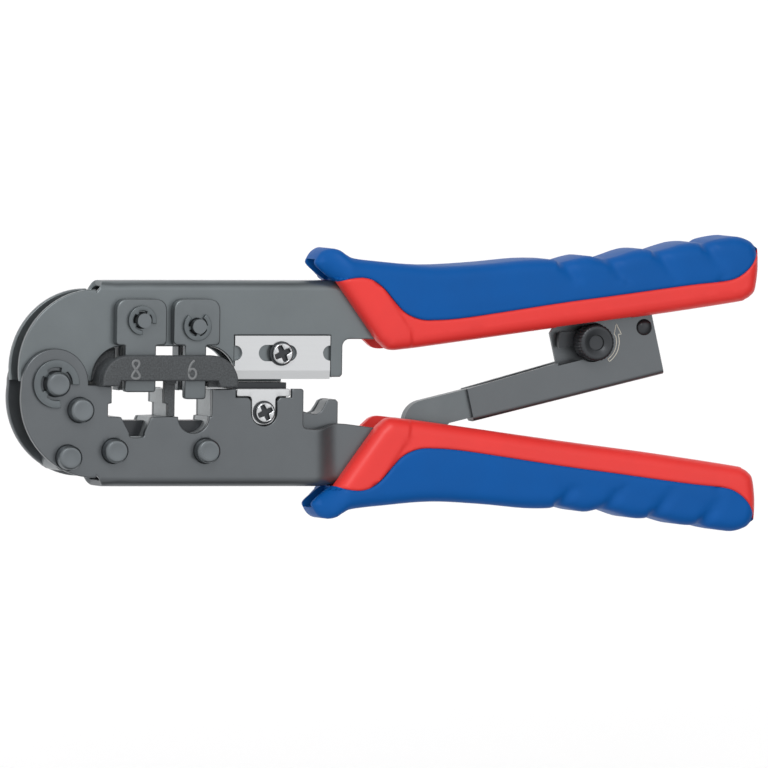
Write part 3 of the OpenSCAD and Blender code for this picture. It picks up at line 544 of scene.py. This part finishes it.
def upper_plate(lip, cut):
    """One plate of the upper frame; the rear one is cut back above the cable rest."""
    pocket = [(46.45, 4.2), (46.45, 11.75), (71.25, 11.75), (71.25, lip), (73.7, lip), (74.3, lip + 0.6)]
    right = [(47.0, 1.0), (47.0, lip), (61, 0.2), (61, 8.0), (74.3, 8.0)] if cut else pocket
    neck = [(74.3, 9.0)] + arc(76.1, 9.0, 1.8, 180, 90, 6).tolist()
    return np.concatenate([window(), right, neck, [(84, 10.8), (98.5, 12.8), (128, 17.2)],
                           [(148, 17.2), (TAIL, 20.5)]])

upper_left = np.concatenate([nose(), [(-5.15, NOSE_END)], arc(0, 0, UPPER_EAR, 175, 365, 22), [(5.4, NOSE_END)]])
upper_blank = whole_blank(upper_left, upper_plate(1.6, False), upper_plate(0.2, True), narrow)
holes = pin_holes([(0, 0, UPPER_PIN_HOLE)] + [(x, y, PUNCH_PIN_HOLE) for x, y in (WIDE_PIN, NARROW_PIN)], narrow, 1)
upper_frame = plate("upper_frame_sheet", [upper_blank] + holes, 0, SHEET, "upper", UPPER_STEEL, "upper_steel",
                    edge=0.3, step=1.2, bend=fold_channel(narrow, 1), lattice=blank_lattice(narrow, TAIL),
                    replaces=("upper_frame",))
print("upper frame faces", len(upper_frame.data.polygons))

# %% [markdown]
# ## The rest of the steel
# Dies, combs, pins and springs are mostly hidden, and their CAD meshes are already right. A small bevel is enough:
# a real edge always catches some light. What shows most, such as rivets, clips, blades and screws, is made again.

# %% Dress the CAD nodes that stay
def dress(node, material, width=0.12):
    """Gives a CAD node its finish and a small rounded edge."""
    obj = frame["nodes"][node]
    obj.data.materials.clear()
    obj.data.materials.append(material)
    if width:
        bevel = obj.modifiers.new("Edge", "BEVEL")
        bevel.width = width / 1000
        bevel.segments = 2
        bevel.limit_method = "ANGLE"
        bevel.angle_limit = math.radians(40)
        bevel.harden_normals = True

dressed = {
    "pivot_bush": PIN_STEEL, "frame_spacers": PIN_STEEL, "die_block": DIE_STEEL, "latch_anvils": DARK_STEEL_AND_PAINTED_SHADE,
    "blade_holder": DARK_STEEL_AND_PAINTED_SHADE, "rack_pin": PIN_STEEL, "rack_washers": PIN_STEEL,
    "contact_punch_wide": PUNCH_STEEL, "contact_punch_narrow": PUNCH_STEEL, "punch_pins": PIN_STEEL,
    "upper_blade": BLADE_STEEL, "blade_nut": DIE_STEEL, "channel_pin": PIN_STEEL, "channel_washers": PIN_STEEL,
    "lock_rack": PUNCH_STEEL, "knob_spindle": PIN_STEEL, "pawl": DARK_STEEL_AND_PAINTED_SHADE, "lock_channel": LOWER_STEEL}
for node, material in dressed.items():
    dress(node, material)
for node in ("return_spring", "pawl_spring"):
    dress(node, SPRING_WIRE, 0)
print("dressed CAD nodes:", len(dressed) + 2)

# %% [markdown]
# ## Rivets, clips and punches
# A rivet or pin is a turned profile with a wide chamfer and a faintly dished end. A retaining clip is an open ring
# stamped from sheet, with three prongs that bite the pin. The strain relief punches are stamped too, so plates with
# rounded rims suit them all.

# %% Pins and rivets
PIN_R, PIN_HALF = 3.0, 9.0
PUNCH_PIN_R = 1.75

def ends(radius, half, chamfer=0.5):
    """Profile of a pin with chamfered, slightly dished ends."""
    side = [(0, half - 0.12), (radius * 0.6, half - 0.1), (radius - chamfer - 0.05, half),
            (radius - chamfer, half - 0.02), (radius - 0.04, half - chamfer), (radius, half - chamfer - 0.08)]
    return np.array([(r, -z) for r, z in side] + [(r, z) for r, z in side[::-1]])

for i, (x, y) in enumerate(RIVETS):
    turned(f"frame_rivet_{i + 1}", (x, y), ends(2.95, PIN_HALF), "lower", PIN_STEEL, "pin_steel",
           replaces=("frame_rivets",) if i == 0 else ())
turned("hinge_pin", (0, 0), ends(PIN_R, PIN_HALF), "lower", PIN_STEEL, "pin_steel", replaces=("pivot_pin",))
print("rivets:", len(RIVETS), "and one pin,", 2 * PIN_HALF, "long")

# %% Retaining clips
def clip_loop(at, pin_r, out_r, mouth):
    """An open ring with three prongs: the inner radius is r_pin + 0.36 (r_out - r_pin), and the pin's own at 100,
    180 and 260 degrees from the mouth."""
    a = np.radians(np.linspace(38, 322, 143))
    prong = np.abs((np.degrees(a) - 180 + 40) % 80 - 40) < 11
    prong &= np.abs(np.degrees(a) - 180) < 95
    inner = np.where(prong, pin_r + 0.04, pin_r + 0.36 * (out_r - pin_r))
    m = math.radians(mouth)
    ring = np.concatenate([np.stack([out_r * np.cos(a + m), out_r * np.sin(a + m)], 1),
                           np.stack([inner * np.cos(a + m), inner * np.sin(a + m)], 1)[::-1]])
    return outline(ring + at)

for name, at, pin_r, out_r, mouth, z, body, gone in (
        ("hinge_clip_front", (0, 0), PIN_R, 5.85, 320, W_LOW + 0.05, "lower", ("pivot_clips",)),
        ("hinge_clip_rear", (0, 0), PIN_R, 5.85, 320, -W_LOW - 0.95, "lower", ()),
        ("punch_clip_wide", WIDE_PIN, PUNCH_PIN_R, 3.55, 308, W_UP + 2.45, "upper", ("punch_clips",)),
        ("punch_clip_narrow", NARROW_PIN, PUNCH_PIN_R, 3.55, 92, W_UP + 2.45, "upper", ())):
    plate(name, [clip_loop(at, pin_r, out_r, mouth)], z, z + 0.9, body, CLIP_STEEL, "clip_steel", edge=0.12,
          step=0.6, replaces=gone)

# %% Strain relief punches
def punch(name, x0, x1, s0, s1, tip, pin, gone):
    """A rounded head on a narrower stem, drilled for its pin."""
    loop = rounded([(x0, 20.6), (x0, 9.3), (s0, 9.3), (s0, tip), (s1, tip), (s1, 9.3), (x1, 9.3), (x1, 20.6)],
                   [3, 1.3, 0.5, 0.8, 0.8, 0.5, 1.3, 3], 7)
    plate(name, [loop, hole(pin[0], pin[1], 1.77)], W_UP + 0.02, W_UP + 2.4, "upper", PUNCH_STEEL, "punch_steel",
          edge=0.4, step=0.8, replaces=(gone,))

punch("relief_punch_wide_head", 15.3, 28.2, 17.6, 25.5, -2.0, WIDE_PIN, "relief_punch_wide")
punch("relief_punch_narrow_head", 30.0, 41.9, 33.0, 38.4, -3.7, NARROW_PIN, "relief_punch_narrow")

# %% [markdown]
# ## Blades and screws
# The lower blade is a ground T that stands in its pocket, and the upper one is a straight strip in front of a dark
# seat. Each is held by a pan-head screw. The cross recess is a hole through the head over the shank's dark top, a
# disc of painted shade that makes the recess look deep without cutting the shank, and a thin dark ring round each
# head is a painted contact shadow.

# %% Lower blade and the seat behind the upper one
UPPER_SCREW, LOWER_SCREW = (58.5, 7.3), (53.7, -6.9)
lo, hi = node_box("lower_blade")
tee = rounded([(lo[0], hi[1]), (lo[0], -3.1), (50.6, -3.1), (50.6, -10.0), (56.8, -10.0), (56.8, -3.1),
               (hi[0], -3.1), (hi[0], hi[1])], [0.6, 0.6, 1.0, 3.05, 3.05, 1.0, 0.6, 0.6], 9)
plate("lower_blade_tee", [tee, hole(*LOWER_SCREW, 1.6)], lo[2], hi[2], "lower", BLADE_STEEL, "blade_steel",
      edge=0.25, step=0.7, replaces=("lower_blade",))
seat_top = node_box("upper_blade")[0][2] - 0.05
plate("upper_blade_seat", [rect(46.5, 1.5, 72.0, 11.7), hole(*UPPER_SCREW, 1.6)], seat_top - 0.5, seat_top,
      "upper", UPPER_STEEL, "upper_steel", edge=0.1, step=1.0)

# %% Screws with a cross recess
def screw(name, at, r, z0, z1, shank_z, body, gone):
    """A pan head with a four-armed recess on a shank whose dark top, seen through the recess, is painted shade for
    its depth; a thin dark ring under the head paints its contact shadow.
    """
    w, l = 0.24 * r, 0.78 * r
    plus = np.array([(w, w), (w * 0.8, l), (-w * 0.8, l), (-w, w), (-l, w * 0.8), (-l, -w * 0.8), (-w, -w),
                     (-w * 0.8, -l), (w * 0.8, -l), (w, -w), (l, -w * 0.8), (l, w * 0.8)])
    turn = math.radians(25)
    plus = plus @ np.array([[math.cos(turn), math.sin(turn)], [-math.sin(turn), math.cos(turn)]]) + at
    plate(name + "_head", [hole(at[0], at[1], r, 56), outline(plus)], z1 - 1.0, z1, body, SCREW_STEEL,
          "screw_steel", edge=0.28, step=0.5, replaces=(gone,))
    # The shank's dark top under the recess is painted shade that makes the recess look deep.
    turned(name + "_shank_painted_shade", at, [(0, shank_z), (1.2, shank_z), (1.45, shank_z + 0.3), (1.45, z0), (r - 0.1, z0),
                                 (r, z0 + 0.1), (r, z1 - 1.0), (r - 0.05, z1 - 0.95), (0, z1 - 0.95)],
           body, DARK_STEEL_AND_PAINTED_SHADE, "dark_steel")
    # A flat dark ring round the head's foot: painted contact shadow under the head.
    turned(name + "_painted_shadow_ring", at, [(r + 0.03, z0), (r + 0.42, z0), (r + 0.42, z0 + 0.25), (r + 0.03, z0 + 0.35),
                                (r + 0.03, z0)], body, DARK_STEEL_AND_PAINTED_SHADE, "dark_steel")

lo, hi = node_box("upper_blade_screw")
screw("upper_screw", UPPER_SCREW, 2.55, W_UP + 0.02, hi[2], lo[2], "upper", "upper_blade_screw")
lo, hi = node_box("lower_blade_screw")
screw("lower_screw", LOWER_SCREW, 2.4, hi[2] - 1.5, hi[2], lo[2], "lower", "lower_blade_screw")

# %% [markdown]
# ## Release knob
# The knob is turned from black steel with a straight knurl, a dished face and a sunken centre. Knurling on a mesh
# is a radius that varies with the angle, so one turned profile gives it with no separate ridges.

# %% Release knob and channel rivet
def knurl(a):
    """Straight knurling: 30 rounded ridges, 0.16 deep, by 0.16 (|cos 15 a| - 1)."""
    return 0.16 * (np.abs(np.cos(15 * a)) - 1)

lo, hi = node_box("release_knob")
z0, z1 = lo[2], hi[2]
knob_profile = [(0, z0, 0), (3.9, z0, 0), (4.35, z0 + 0.3, 0.6), (4.5, z0 + 0.6, 1), (4.5, z1 - 0.75, 1),
                (4.36, z1 - 0.45, 0.6), (4.0, z1 - 0.1, 0), (3.6, z1, 0), (3.2, z1 - 0.06, 0), (2.2, z1 - 0.5, 0),
                (1.9, z1 - 0.62, 0), (1.75, z1 - 1.1, 0), (0, z1 - 1.2, 0)]
turned("release_knob_knurled", knob_at, knob_profile, "release", DARK_STEEL_AND_PAINTED_SHADE, "dark_steel", sides=240, knurl=knurl,
       replaces=("release_knob",))
rivet_at = link_origin + LINK_RIVET[0] * slide + LINK_RIVET[1] * across
link_top = node_box("lock_channel")[1][2]
dome = [(0, link_top + 1.0)]
dome += [(2.0 * math.sin(t), link_top + 1.0 * math.cos(t)) for t in np.linspace(0.1, 1.57, 9)]
tail = [(0, -link_top - 0.6), (1.6, -link_top - 0.6), (1.7, -link_top - 0.5), (1.7, -link_top - 0.02)]
turned("channel_rivet_domed", rivet_at, tail + [(1.2, -link_top), (1.2, link_top)] + dome[::-1], "channel",
       DARK_STEEL_AND_PAINTED_SHADE, "dark_steel", replaces=("channel_rivet",))

# %% Arrow beside the knob
ARROW_PAINT = finish("Arrow paint", (0.62, 0.59, 0.5), 0.6, 0.0)
ARROW_INNER, ARROW_OUTER, ARROW_SHIFT = 4.95, 5.65, [1.35, 0]

def polar(r, angle):
    """The point at radius r and an angle in degrees: (r cos a, r sin a)."""
    return (r * math.cos(math.radians(angle)), r * math.sin(math.radians(angle)))

a = np.radians(np.linspace(-56, 20, 24))
arrow = np.concatenate([np.stack([ARROW_OUTER * np.cos(a), ARROW_OUTER * np.sin(a)], 1),
                        [polar(6.5, 18), polar(6.6, 43), polar(4.7, 24)],
                        np.stack([ARROW_INNER * np.cos(a), ARROW_INNER * np.sin(a)], 1)[::-1]])
arrow = dense(arrow + knob_at + ARROW_SHIFT, 0.5)
arrow = np.column_stack([arrow, np.full(len(arrow), link_top + 0.01)])
tube("direction_arrow", arrow, 0.09, "channel", ARROW_PAINT, "pin_steel", sides=6, closed=True, squash=0.3)

# %% [markdown]
# ## Nest guide
# The guide is one black moulding: a grained half-moon in front of the jaws, cut back along the nests, with ends that
# fold round the sheet and a bar between the nests. Plates with a softly rounded rim meet inside one another, which
# is simpler than one closed shape and looks the same. Two raised plain numerals name the nests.

# %% Guide body
def guide_piece(name, loop, z0, z1, edge=0.2, step=0.8, gone=()):
    """One plate of the guide."""
    plate(name, [loop], z0, z1, "lower", GUIDE_PLASTIC, "guide_plastic", edge=edge, step=step, replaces=gone)

cap_z0, cap_z1 = W_UP + 2.4 + 0.2, node_box("nest_guide")[1][2] - 0.2
moon = outline([(10.8, -0.45), (15.2, -0.45), (15.6, 0.8), (40.6, 0.8), (41.1, -0.75), (45.6, -0.75)],
               arc(39.0, 0.3, 6.7, 0, 90, 14), arc(17.5, 0.3, 6.7, 90, 180, 14))
guide_piece("guide_face", moon, cap_z0, cap_z1, edge=0.5, step=1.15, gone=("nest_guide",))
left_end = outline([(10.8, -0.45), (14.5, -0.45), (14.5, 6.2)], arc(17.5, 0.3, 6.7, 118, 180, 8))
guide_piece("guide_left_end", left_end, -4.3, cap_z0 + 0.3, edge=0.3)
dome_x = node_box("contact_punch_wide")[0][0] - 0.35
dome_a = math.degrees(math.acos((17.5 - dome_x) / 7.3))
dome = outline([(10.3, 0.5)], [(dome_x, 0.5)], arc(17.5, 0.9, 7.3, 180 - dome_a, 180, 12, ry=7.7))
guide_piece("guide_dome", dome, -2.35, 2.35, edge=0.5, step=0.7)
right_end = outline([(43.2, -0.75), (45.6, -0.75)], arc(39.0, 0.3, 6.65, 0, 50, 8), [(43.2, 4.9)])
guide_piece("guide_right_end", right_end, 5.0, cap_z0 + 0.3, edge=0.3)
guide_piece("guide_foot", rect(38.9, -0.7, 43.5, 1.0), 4.6, cap_z0 + 0.3)
bar = outline([(27.95, 1.4), (27.95, -4.7), (28.95, -4.9), (28.95, -7.9), (30.65, -7.9), (30.65, 1.4)])
guide_piece("guide_bar", bar, 4.45, 5.98, gone=("nest_divider",))
guide_piece("guide_post", rect(28.0, 0.05, 30.6, 1.5), 5.0, cap_z0 + 0.4)
print("guide face from", round(cap_z0, 2), "to", round(cap_z1, 2))

# %% Raised numerals
NUMERAL_PLASTIC = finish("Numeral plastic", (0.15, 0.157, 0.162), 0.35, 0.0, mask="Grain", bump=0.2)

def numeral(name, path, closed):
    """A plain numeral: a flattened wire lying half in the guide's face."""
    path = np.column_stack([path, np.full(len(path), cap_z1 - 0.02)])
    tube(name, path, 0.3, "lower", NUMERAL_PLASTIC, "guide_plastic", sides=10, closed=closed, squash=0.55)

t = np.linspace(0, 2 * np.pi, 60, endpoint=False)
eight = np.stack([19.2 + 0.92 * np.sin(2 * t) * (1 - 0.1 * np.cos(t)), 3.6 + 2.2 * np.cos(t)], 1)
numeral("numeral_eight", eight, True)
numeral("numeral_six", np.stack([33.7 + 0.95 * np.cos(t), 2.6 + 1.2 * np.sin(t)], 1), True)
numeral("numeral_six_stem", arc(34.65, 2.6, 1.9, 180, 103, 14, ry=3.25), False)

# %% [markdown]
# ## Grips
# A real grip is moulded in two shots, a hard red core and a soft blue cover that meet at a seam. Each is one soft
# pillow here: over the side outline the thickness rises from the rim in a quarter round of radius `R`,
# z = top - R + sqrt(R^2 - (R - d)^2) at distance d from the rim. A subdivided cage could do it too, but a height
# worked out from the outline puts the finger grooves, the seam and the crease where they belong.

# %% Grip outlines: X and the distance from the closing line
S, E = SPINE, REACH
SEAM = np.array([(72.1, S - 0.1), (74.8, S + 0.7), (78.3, S + 0.9), (81.3, S - 0.1), (83.8, S - 2.1),
                 (86.4, S - 5.1), (88.9, S - 7.5), (92.4, S - 9), (96.3, S - 9.3), (105.3, S - 8.6), (129.3, 19.8), (143.2, 21.6),
                 (E - 19, 24.1), (E - 9, 25.2), (E - 5.2, 26.6), (E - 2.6, 28.9), (E - 1.2, 31.2),
                 (E - 0.7, 33.0)])
CORE_EDGE = np.array([(E - 0.25, 30.8), (E - 0.3, 27.3), (E - 0.9, 23.1), (E - 1.9, 21.6), (E - 3.6, 20.5),
                      (E - 6.5, 19.8), (E - 28, 16.7), (129.3, 13.7), (96.7, 9.3), (90, 8.5), (85.6, 8.3),
                      (82.8, 10.3)])
COVER_EDGE = np.array([(E - 1.3, S + 8.7), (E - 3.1, S + 10.1), (E - 7.1, S + 11.0), (E - 13.4, S + 10.2),
                       (E - 16.3, S + 9.2), (E - 18.3, S + 9.5), (E - 22.7, S + 9.2), (E - 29.9, S + 7.4),
                       (E - 31.7, S + 7.8), (E - 35.5, S + 7.6), (E - 42, S + 5.6), (E - 46.8, S + 6.2),
                       (E - 52.7, S + 4.7), (E - 54.3, S + 5.3), (E - 60.7, S + 5.3), (109.6, S + 4.3),
                       (96.7, S + 3.7), (83.8, S + 4.7), (76.6, S + 5.5), (74.4, S + 6.4), (72.8, S + 7.5),
                       (70.8, S + 7.9), (68.8, S + 7.2), (67.5, S + 5.6), (67.2, S + 3.9), (70.1, S + 1.3)])
# The cover's waves sit a little further out along the handle than the points above say.
COVER_EDGE[:, 0] += np.interp(COVER_EDGE[:, 0] - E, [-75, -60, -52.7, -42, -29.9, -16.3, -6, 0],
                              [0, 0.6, 1.4, 2.6, 3.2, 1.9, 0.6, 0])
# The crease across the core, as X at each distance from the closing line, and the X of the finger grooves.
CREASE = np.array([(S - 0.5, 80.5), (S - 1.5, 82.6), (18.0, 86.3), (13.1, 89.8), (7.0, 90.6)])[::-1]
GROOVES = (E - 14.4, E - 26.9, E - 39.4, E - 51.3)
print("grips end at", round(E, 1), "with grooves at", np.round(GROOVES, 1).tolist())

def curve_through(points, n=7, tension=0.5):
    """A smooth line through points: Catmull-Rom pieces with n points each."""
    p = np.concatenate([2 * points[:1] - points[1:2], points, 2 * points[-1:] - points[-2:-1]])
    a, b, c, d = p[:-3, None], p[1:-2, None], p[2:-1, None], p[3:, None]
    t = np.linspace(0, 1, n, endpoint=False)[None, :, None]
    out = b + tension * (c - a) * t + (2 * tension * a + (tension - 3) * b + (3 - 2 * tension) * c - tension * d) \
        * t ** 2 + (-tension * a + (2 - tension) * b + (tension - 2) * c + tension * d) * t ** 3
    return np.concatenate([out.reshape(-1, 2), points[-1:]])

def distance(points, line, closed=True):
    """Shortest distance from each point to a polyline."""
    a = line
    b = np.roll(line, -1, 0) if closed else line[1:]
    a = a if closed else line[:-1]
    ab = b - a
    best = np.full(len(points), 1e9)
    for s in range(0, len(points), 2000):
        p = points[s:s + 2000, None]
        u = np.clip(((p - a) * ab).sum(2) / np.maximum((ab ** 2).sum(1), 1e-12), 0, 1)
        best[s:s + 2000] = np.linalg.norm(p - a - u[..., None] * ab, axis=2).min(1)
    return best

# %% Pillow surface
def pillow(name, loop, whole, seam, top, radius, sink, body, material, slot, sign, replaces, crease=None):
    """A closed pillow over loop. whole is the full grip's outline, whose distance d sets the rounding,
    z = top - R + sqrt(R^2 - (R - d)^2); the surface crowns by 0.35, sinks a little next to the seam, dips in each
    groove by a Gauss curve, steps down past the crease and thins at the cover's collar."""
    rim = dense(loop, 0.7)
    normal = side_normals(rim)
    steps = np.array([0.12, 0.4, 0.85, 1.4, 2.1, 3.0, 4.0])
    near = [rim - normal * s for s in steps]
    near = [q[(distance(q, rim) > 0.93 * s) & inside(q, [rim])] for q, s in zip(near, steps)]
    low, high = rim.min(0), rim.max(0)
    gx, gy = np.meshgrid(np.arange(low[0], high[0], 1.6), np.arange(low[1], high[1], 1.6))
    gx = gx + 0.8 * (np.arange(gy.shape[0])[:, None] % 2)
    inner = np.stack([gx.ravel(), gy.ravel()], 1)
    inner = inner[inside(inner, [rim])]
    inner = inner[distance(inner, rim) > 4.6]
    flat, tris = fill([rim], np.concatenate(near + [inner]))
    d = distance(flat, whole)
    e = radius - np.minimum(d, radius)
    z = top - radius + np.sqrt(np.maximum(radius ** 2 - e ** 2, 0))
    z = z - 0.35 + 0.35 * np.clip(d / 9, 0, 1)
    ds = distance(flat, seam, closed=False)
    z = z - sink * np.clip(1 - ds / 0.55, 0, 1) ** 2 * np.clip(d / 1.5, 0, 1)
    for x in GROOVES:
        z = z - 0.9 * np.exp(-((flat[:, 0] - x - 0.6 * d) / 1.5) ** 2 - (d / 6.0) ** 2) * (flat[:, 1] > S)
    if crease is not None:
        past = flat[:, 0] - np.interp(flat[:, 1], crease[:, 0], crease[:, 1])
        z = z - 0.45 * np.clip(past / 0.9, 0, 1) * np.exp(-np.maximum(past, 0) / 14)
    z = z * (1 - 0.4 * np.clip((75 - flat[:, 0]) / 6, 0, 1) ** 1.5 * (flat[:, 1] > S + 0.6))
    upper = np.column_stack([flat[:, 0], sign * flat[:, 1], z])
    lower = upper * [1, 1, -1]
    n = len(flat)
    edges = np.sort(np.concatenate([tris[:, [0, 1]], tris[:, [1, 2]], tris[:, [2, 0]]]), axis=1)
    pairs, count = np.unique(edges, axis=0, return_counts=True)
    border = pairs[count == 1]
    walls = np.column_stack([border, border[:, ::-1] + n])
    faces = tris.tolist() + (tris[:, ::-1] + n).tolist() + walls.tolist()
    return add_mesh(name, np.concatenate([upper, lower]), faces, body, material, slot, replaces=replaces)

def carve(obj, cutter):
    """Subtracts the cutter from the object and removes it."""
    modifier = obj.modifiers.new("Cut", "BOOLEAN")
    modifier.operation = "DIFFERENCE"
    modifier.solver = "EXACT"
    modifier.object = cutter
    bpy.context.view_layer.update()
    mesh = bpy.data.meshes.new_from_object(obj.evaluated_get(bpy.context.evaluated_depsgraph_get()))
    obj.modifiers.clear()
    obj.data = mesh
    smooth_all(mesh)

def prism(loop, z0, z1, sign):
    """A plain prism used only as a cutter."""
    loop = np.asarray(loop, float)
    n = len(loop)
    points = np.concatenate([np.column_stack([loop[:, 0], sign * loop[:, 1], np.full(n, z)]) for z in (z0, z1)])
    mesh = bpy.data.meshes.new("cutter")
    faces = [list(range(n))[::-1], list(range(n, 2 * n))] + grid_faces(2, n).tolist()
    mesh.from_pydata(place(points).tolist(), [], faces)
    obj = bpy.data.objects.new("cutter", mesh)
    bpy.context.collection.objects.link(obj)
    bm = bmesh.new()
    bm.from_mesh(mesh)
    bmesh.ops.recalc_face_normals(bm, faces=bm.faces)
    bm.to_mesh(mesh)
    bm.free()
    return obj

# %% Build both grips
seam_line = curve_through(SEAM, 6)
core_loop = outline(seam_line, curve_through(CORE_EDGE, 5), [(82.8, 10.3)])
cover_loop = outline(seam_line, curve_through(COVER_EDGE, 5))
whole_loop = outline(curve_through(COVER_EDGE, 5)[::-1], curve_through(CORE_EDGE, 5), SEAM[:1])
hollow = [(60, -1), (60, S + 0.02), (RISE_X, S + 0.02), (TAIL + 0.1, spine_height(TAIL) + 0.02), (TAIL + 0.1, -1)]
RIM_R, SEAM_DEPTH = 3.0, 0.4
knob_bay = [(128.6, 0), (128.6, 17.8), (148.6, 17.8), (148.6, 0)]
collar_slot = [(60, S - 2), (60, S + 5.2), (69.6, S + 5.2), (72.5, S + 1.5), (72.5, S - 2)]
MOULDINGS = (("core", core_loop, RED_PLASTIC, "core_plastic", 8.95),
             ("cover", cover_loop, BLUE_RUBBER, "cover_rubber", 9.0))
for body, sign in (("upper", 1), ("lower", -1)):
    cutters = [prism(hollow, -W_UP - 0.03, W_UP + 0.03, sign)]
    if sign > 0:
        cutters.append(prism(knob_bay, 0, 6.8, sign))
    for kind, loop, material, slot, top in MOULDINGS:
        grip = pillow(f"{body}_grip_{kind}_moulded", loop, whole_loop, seam_line, top, RIM_R, SEAM_DEPTH, body,
                      material, slot, sign, (f"{body}_grip_{kind}",), CREASE if kind == "core" else None)
        for cutter in cutters:
            carve(grip, cutter)
        if kind == "cover":
            cutter = prism(collar_slot, -2.9, 2.9, sign)
            carve(grip, cutter)
            bpy.data.objects.remove(cutter)
        print(grip.name, len(grip.data.polygons))
    for cutter in cutters:
        bpy.data.objects.remove(cutter)

# %% [markdown]
# ## Stage
# A tool on a pale ground wants an even white backdrop and no shadow under it, so the floor lies `FLOOR_GAP` below.
# Steel shows what surrounds it: the sky is bright on one side and dark on the other, which gives the folds their
# gradients, and two soft lights add the glints. The camera has a long lens, 20 degrees to the left of square on
# and 2.2 above.

# %% Floor
FLOOR_GAP = 0.25
bpy.ops.mesh.primitive_plane_add(size=12, location=(0, 0, float(cad_low.z) - FLOOR_GAP))
floor = bpy.context.object
floor.name = "floor"
floor_paint = bpy.data.materials.new("Floor paint")
floor_paint.use_nodes = True
floor_shader = floor_paint.node_tree.nodes["Principled BSDF"]
floor_shader.inputs["Base Color"].default_value = (0.98, 0.98, 0.98, 1)
floor_shader.inputs["Roughness"].default_value = 0.85
floor.data.materials.append(floor_paint)

# %% Sky
SKY_FROM = (-0.42, 0.1, 0.902)
SKY_TURN, SKY_DARK, SKY_BRIGHT = 0.7, 0.05, 1.1

world = bpy.data.worlds.new("Studio")
world.use_nodes = True
sky = world.node_tree
direction = sky.nodes.new("ShaderNodeTexCoord")
facing = sky.nodes.new("ShaderNodeVectorMath")
facing.operation = "DOT_PRODUCT"
facing.inputs[1].default_value = SKY_FROM
level = sky.nodes.new("ShaderNodeMapRange")
level.inputs["From Min"].default_value = 0.0
level.inputs["From Max"].default_value = SKY_TURN
level.inputs["To Min"].default_value = SKY_DARK
level.inputs["To Max"].default_value = SKY_BRIGHT
sky.links.new(direction.outputs["Generated"], facing.inputs[0])
sky.links.new(facing.outputs["Value"], level.inputs["Value"])
sky.links.new(level.outputs["Result"], sky.nodes["Background"].inputs["Strength"])
sky.nodes["Background"].inputs["Color"].default_value = (1, 1, 1, 1)
bpy.context.scene.world = world
bpy.context.scene.view_settings.view_transform = "Standard"

# %% Lights
def area_light(name, at, size, power):
    """A soft square light that faces the tool."""
    light = bpy.data.lights.new(name, "AREA")
    light.size, light.energy = size, power
    obj = bpy.data.objects.new(name, light)
    obj.location = at
    obj.rotation_mode = "QUATERNION"
    obj.rotation_quaternion = (Vector((0, 0, 0.01)) - Vector(at)).to_track_quat("-Z", "Y")
    bpy.context.collection.objects.link(obj)

area_light("key", (-0.35, 0.7, 0.9), 0.5, 5)
area_light("fill", (0.5, 0.25, 0.9), 0.7, 0.7)

# %% Camera
LOOK_AT = (86.6, -0.27)
SENSOR, VIEW_WIDTH = 36, 768 / 4.12
yaw, pitch, distance_m = math.radians(20), math.radians(2.2), 8.0
back = Vector((-math.sin(yaw) * math.cos(pitch), math.sin(pitch), math.cos(yaw) * math.cos(pitch)))
up = back.cross(Vector((1, 0, 0))).normalized()
right = up.cross(back).normalized()
target = Vector(((LOOK_AT[0] + hinge[0]) / 1000, LOOK_AT[1] / 1000, hinge[2] / 1000))
camera = bpy.data.objects.new("camera", bpy.data.cameras.new("camera"))
camera.data.sensor_width = SENSOR
camera.data.lens = SENSOR * distance_m * 1000 / VIEW_WIDTH
camera.data.clip_start, camera.data.clip_end = 0.05, 40
turn = Matrix((right, up, back)).transposed().to_4x4()
camera.matrix_world = Matrix.Translation(target + back * distance_m) @ turn
bpy.context.collection.objects.link(camera)
bpy.context.scene.camera = camera
print("lens:", round(camera.data.lens), "mm, to show", round(VIEW_WIDTH, 1), "mm of the tool's plane")
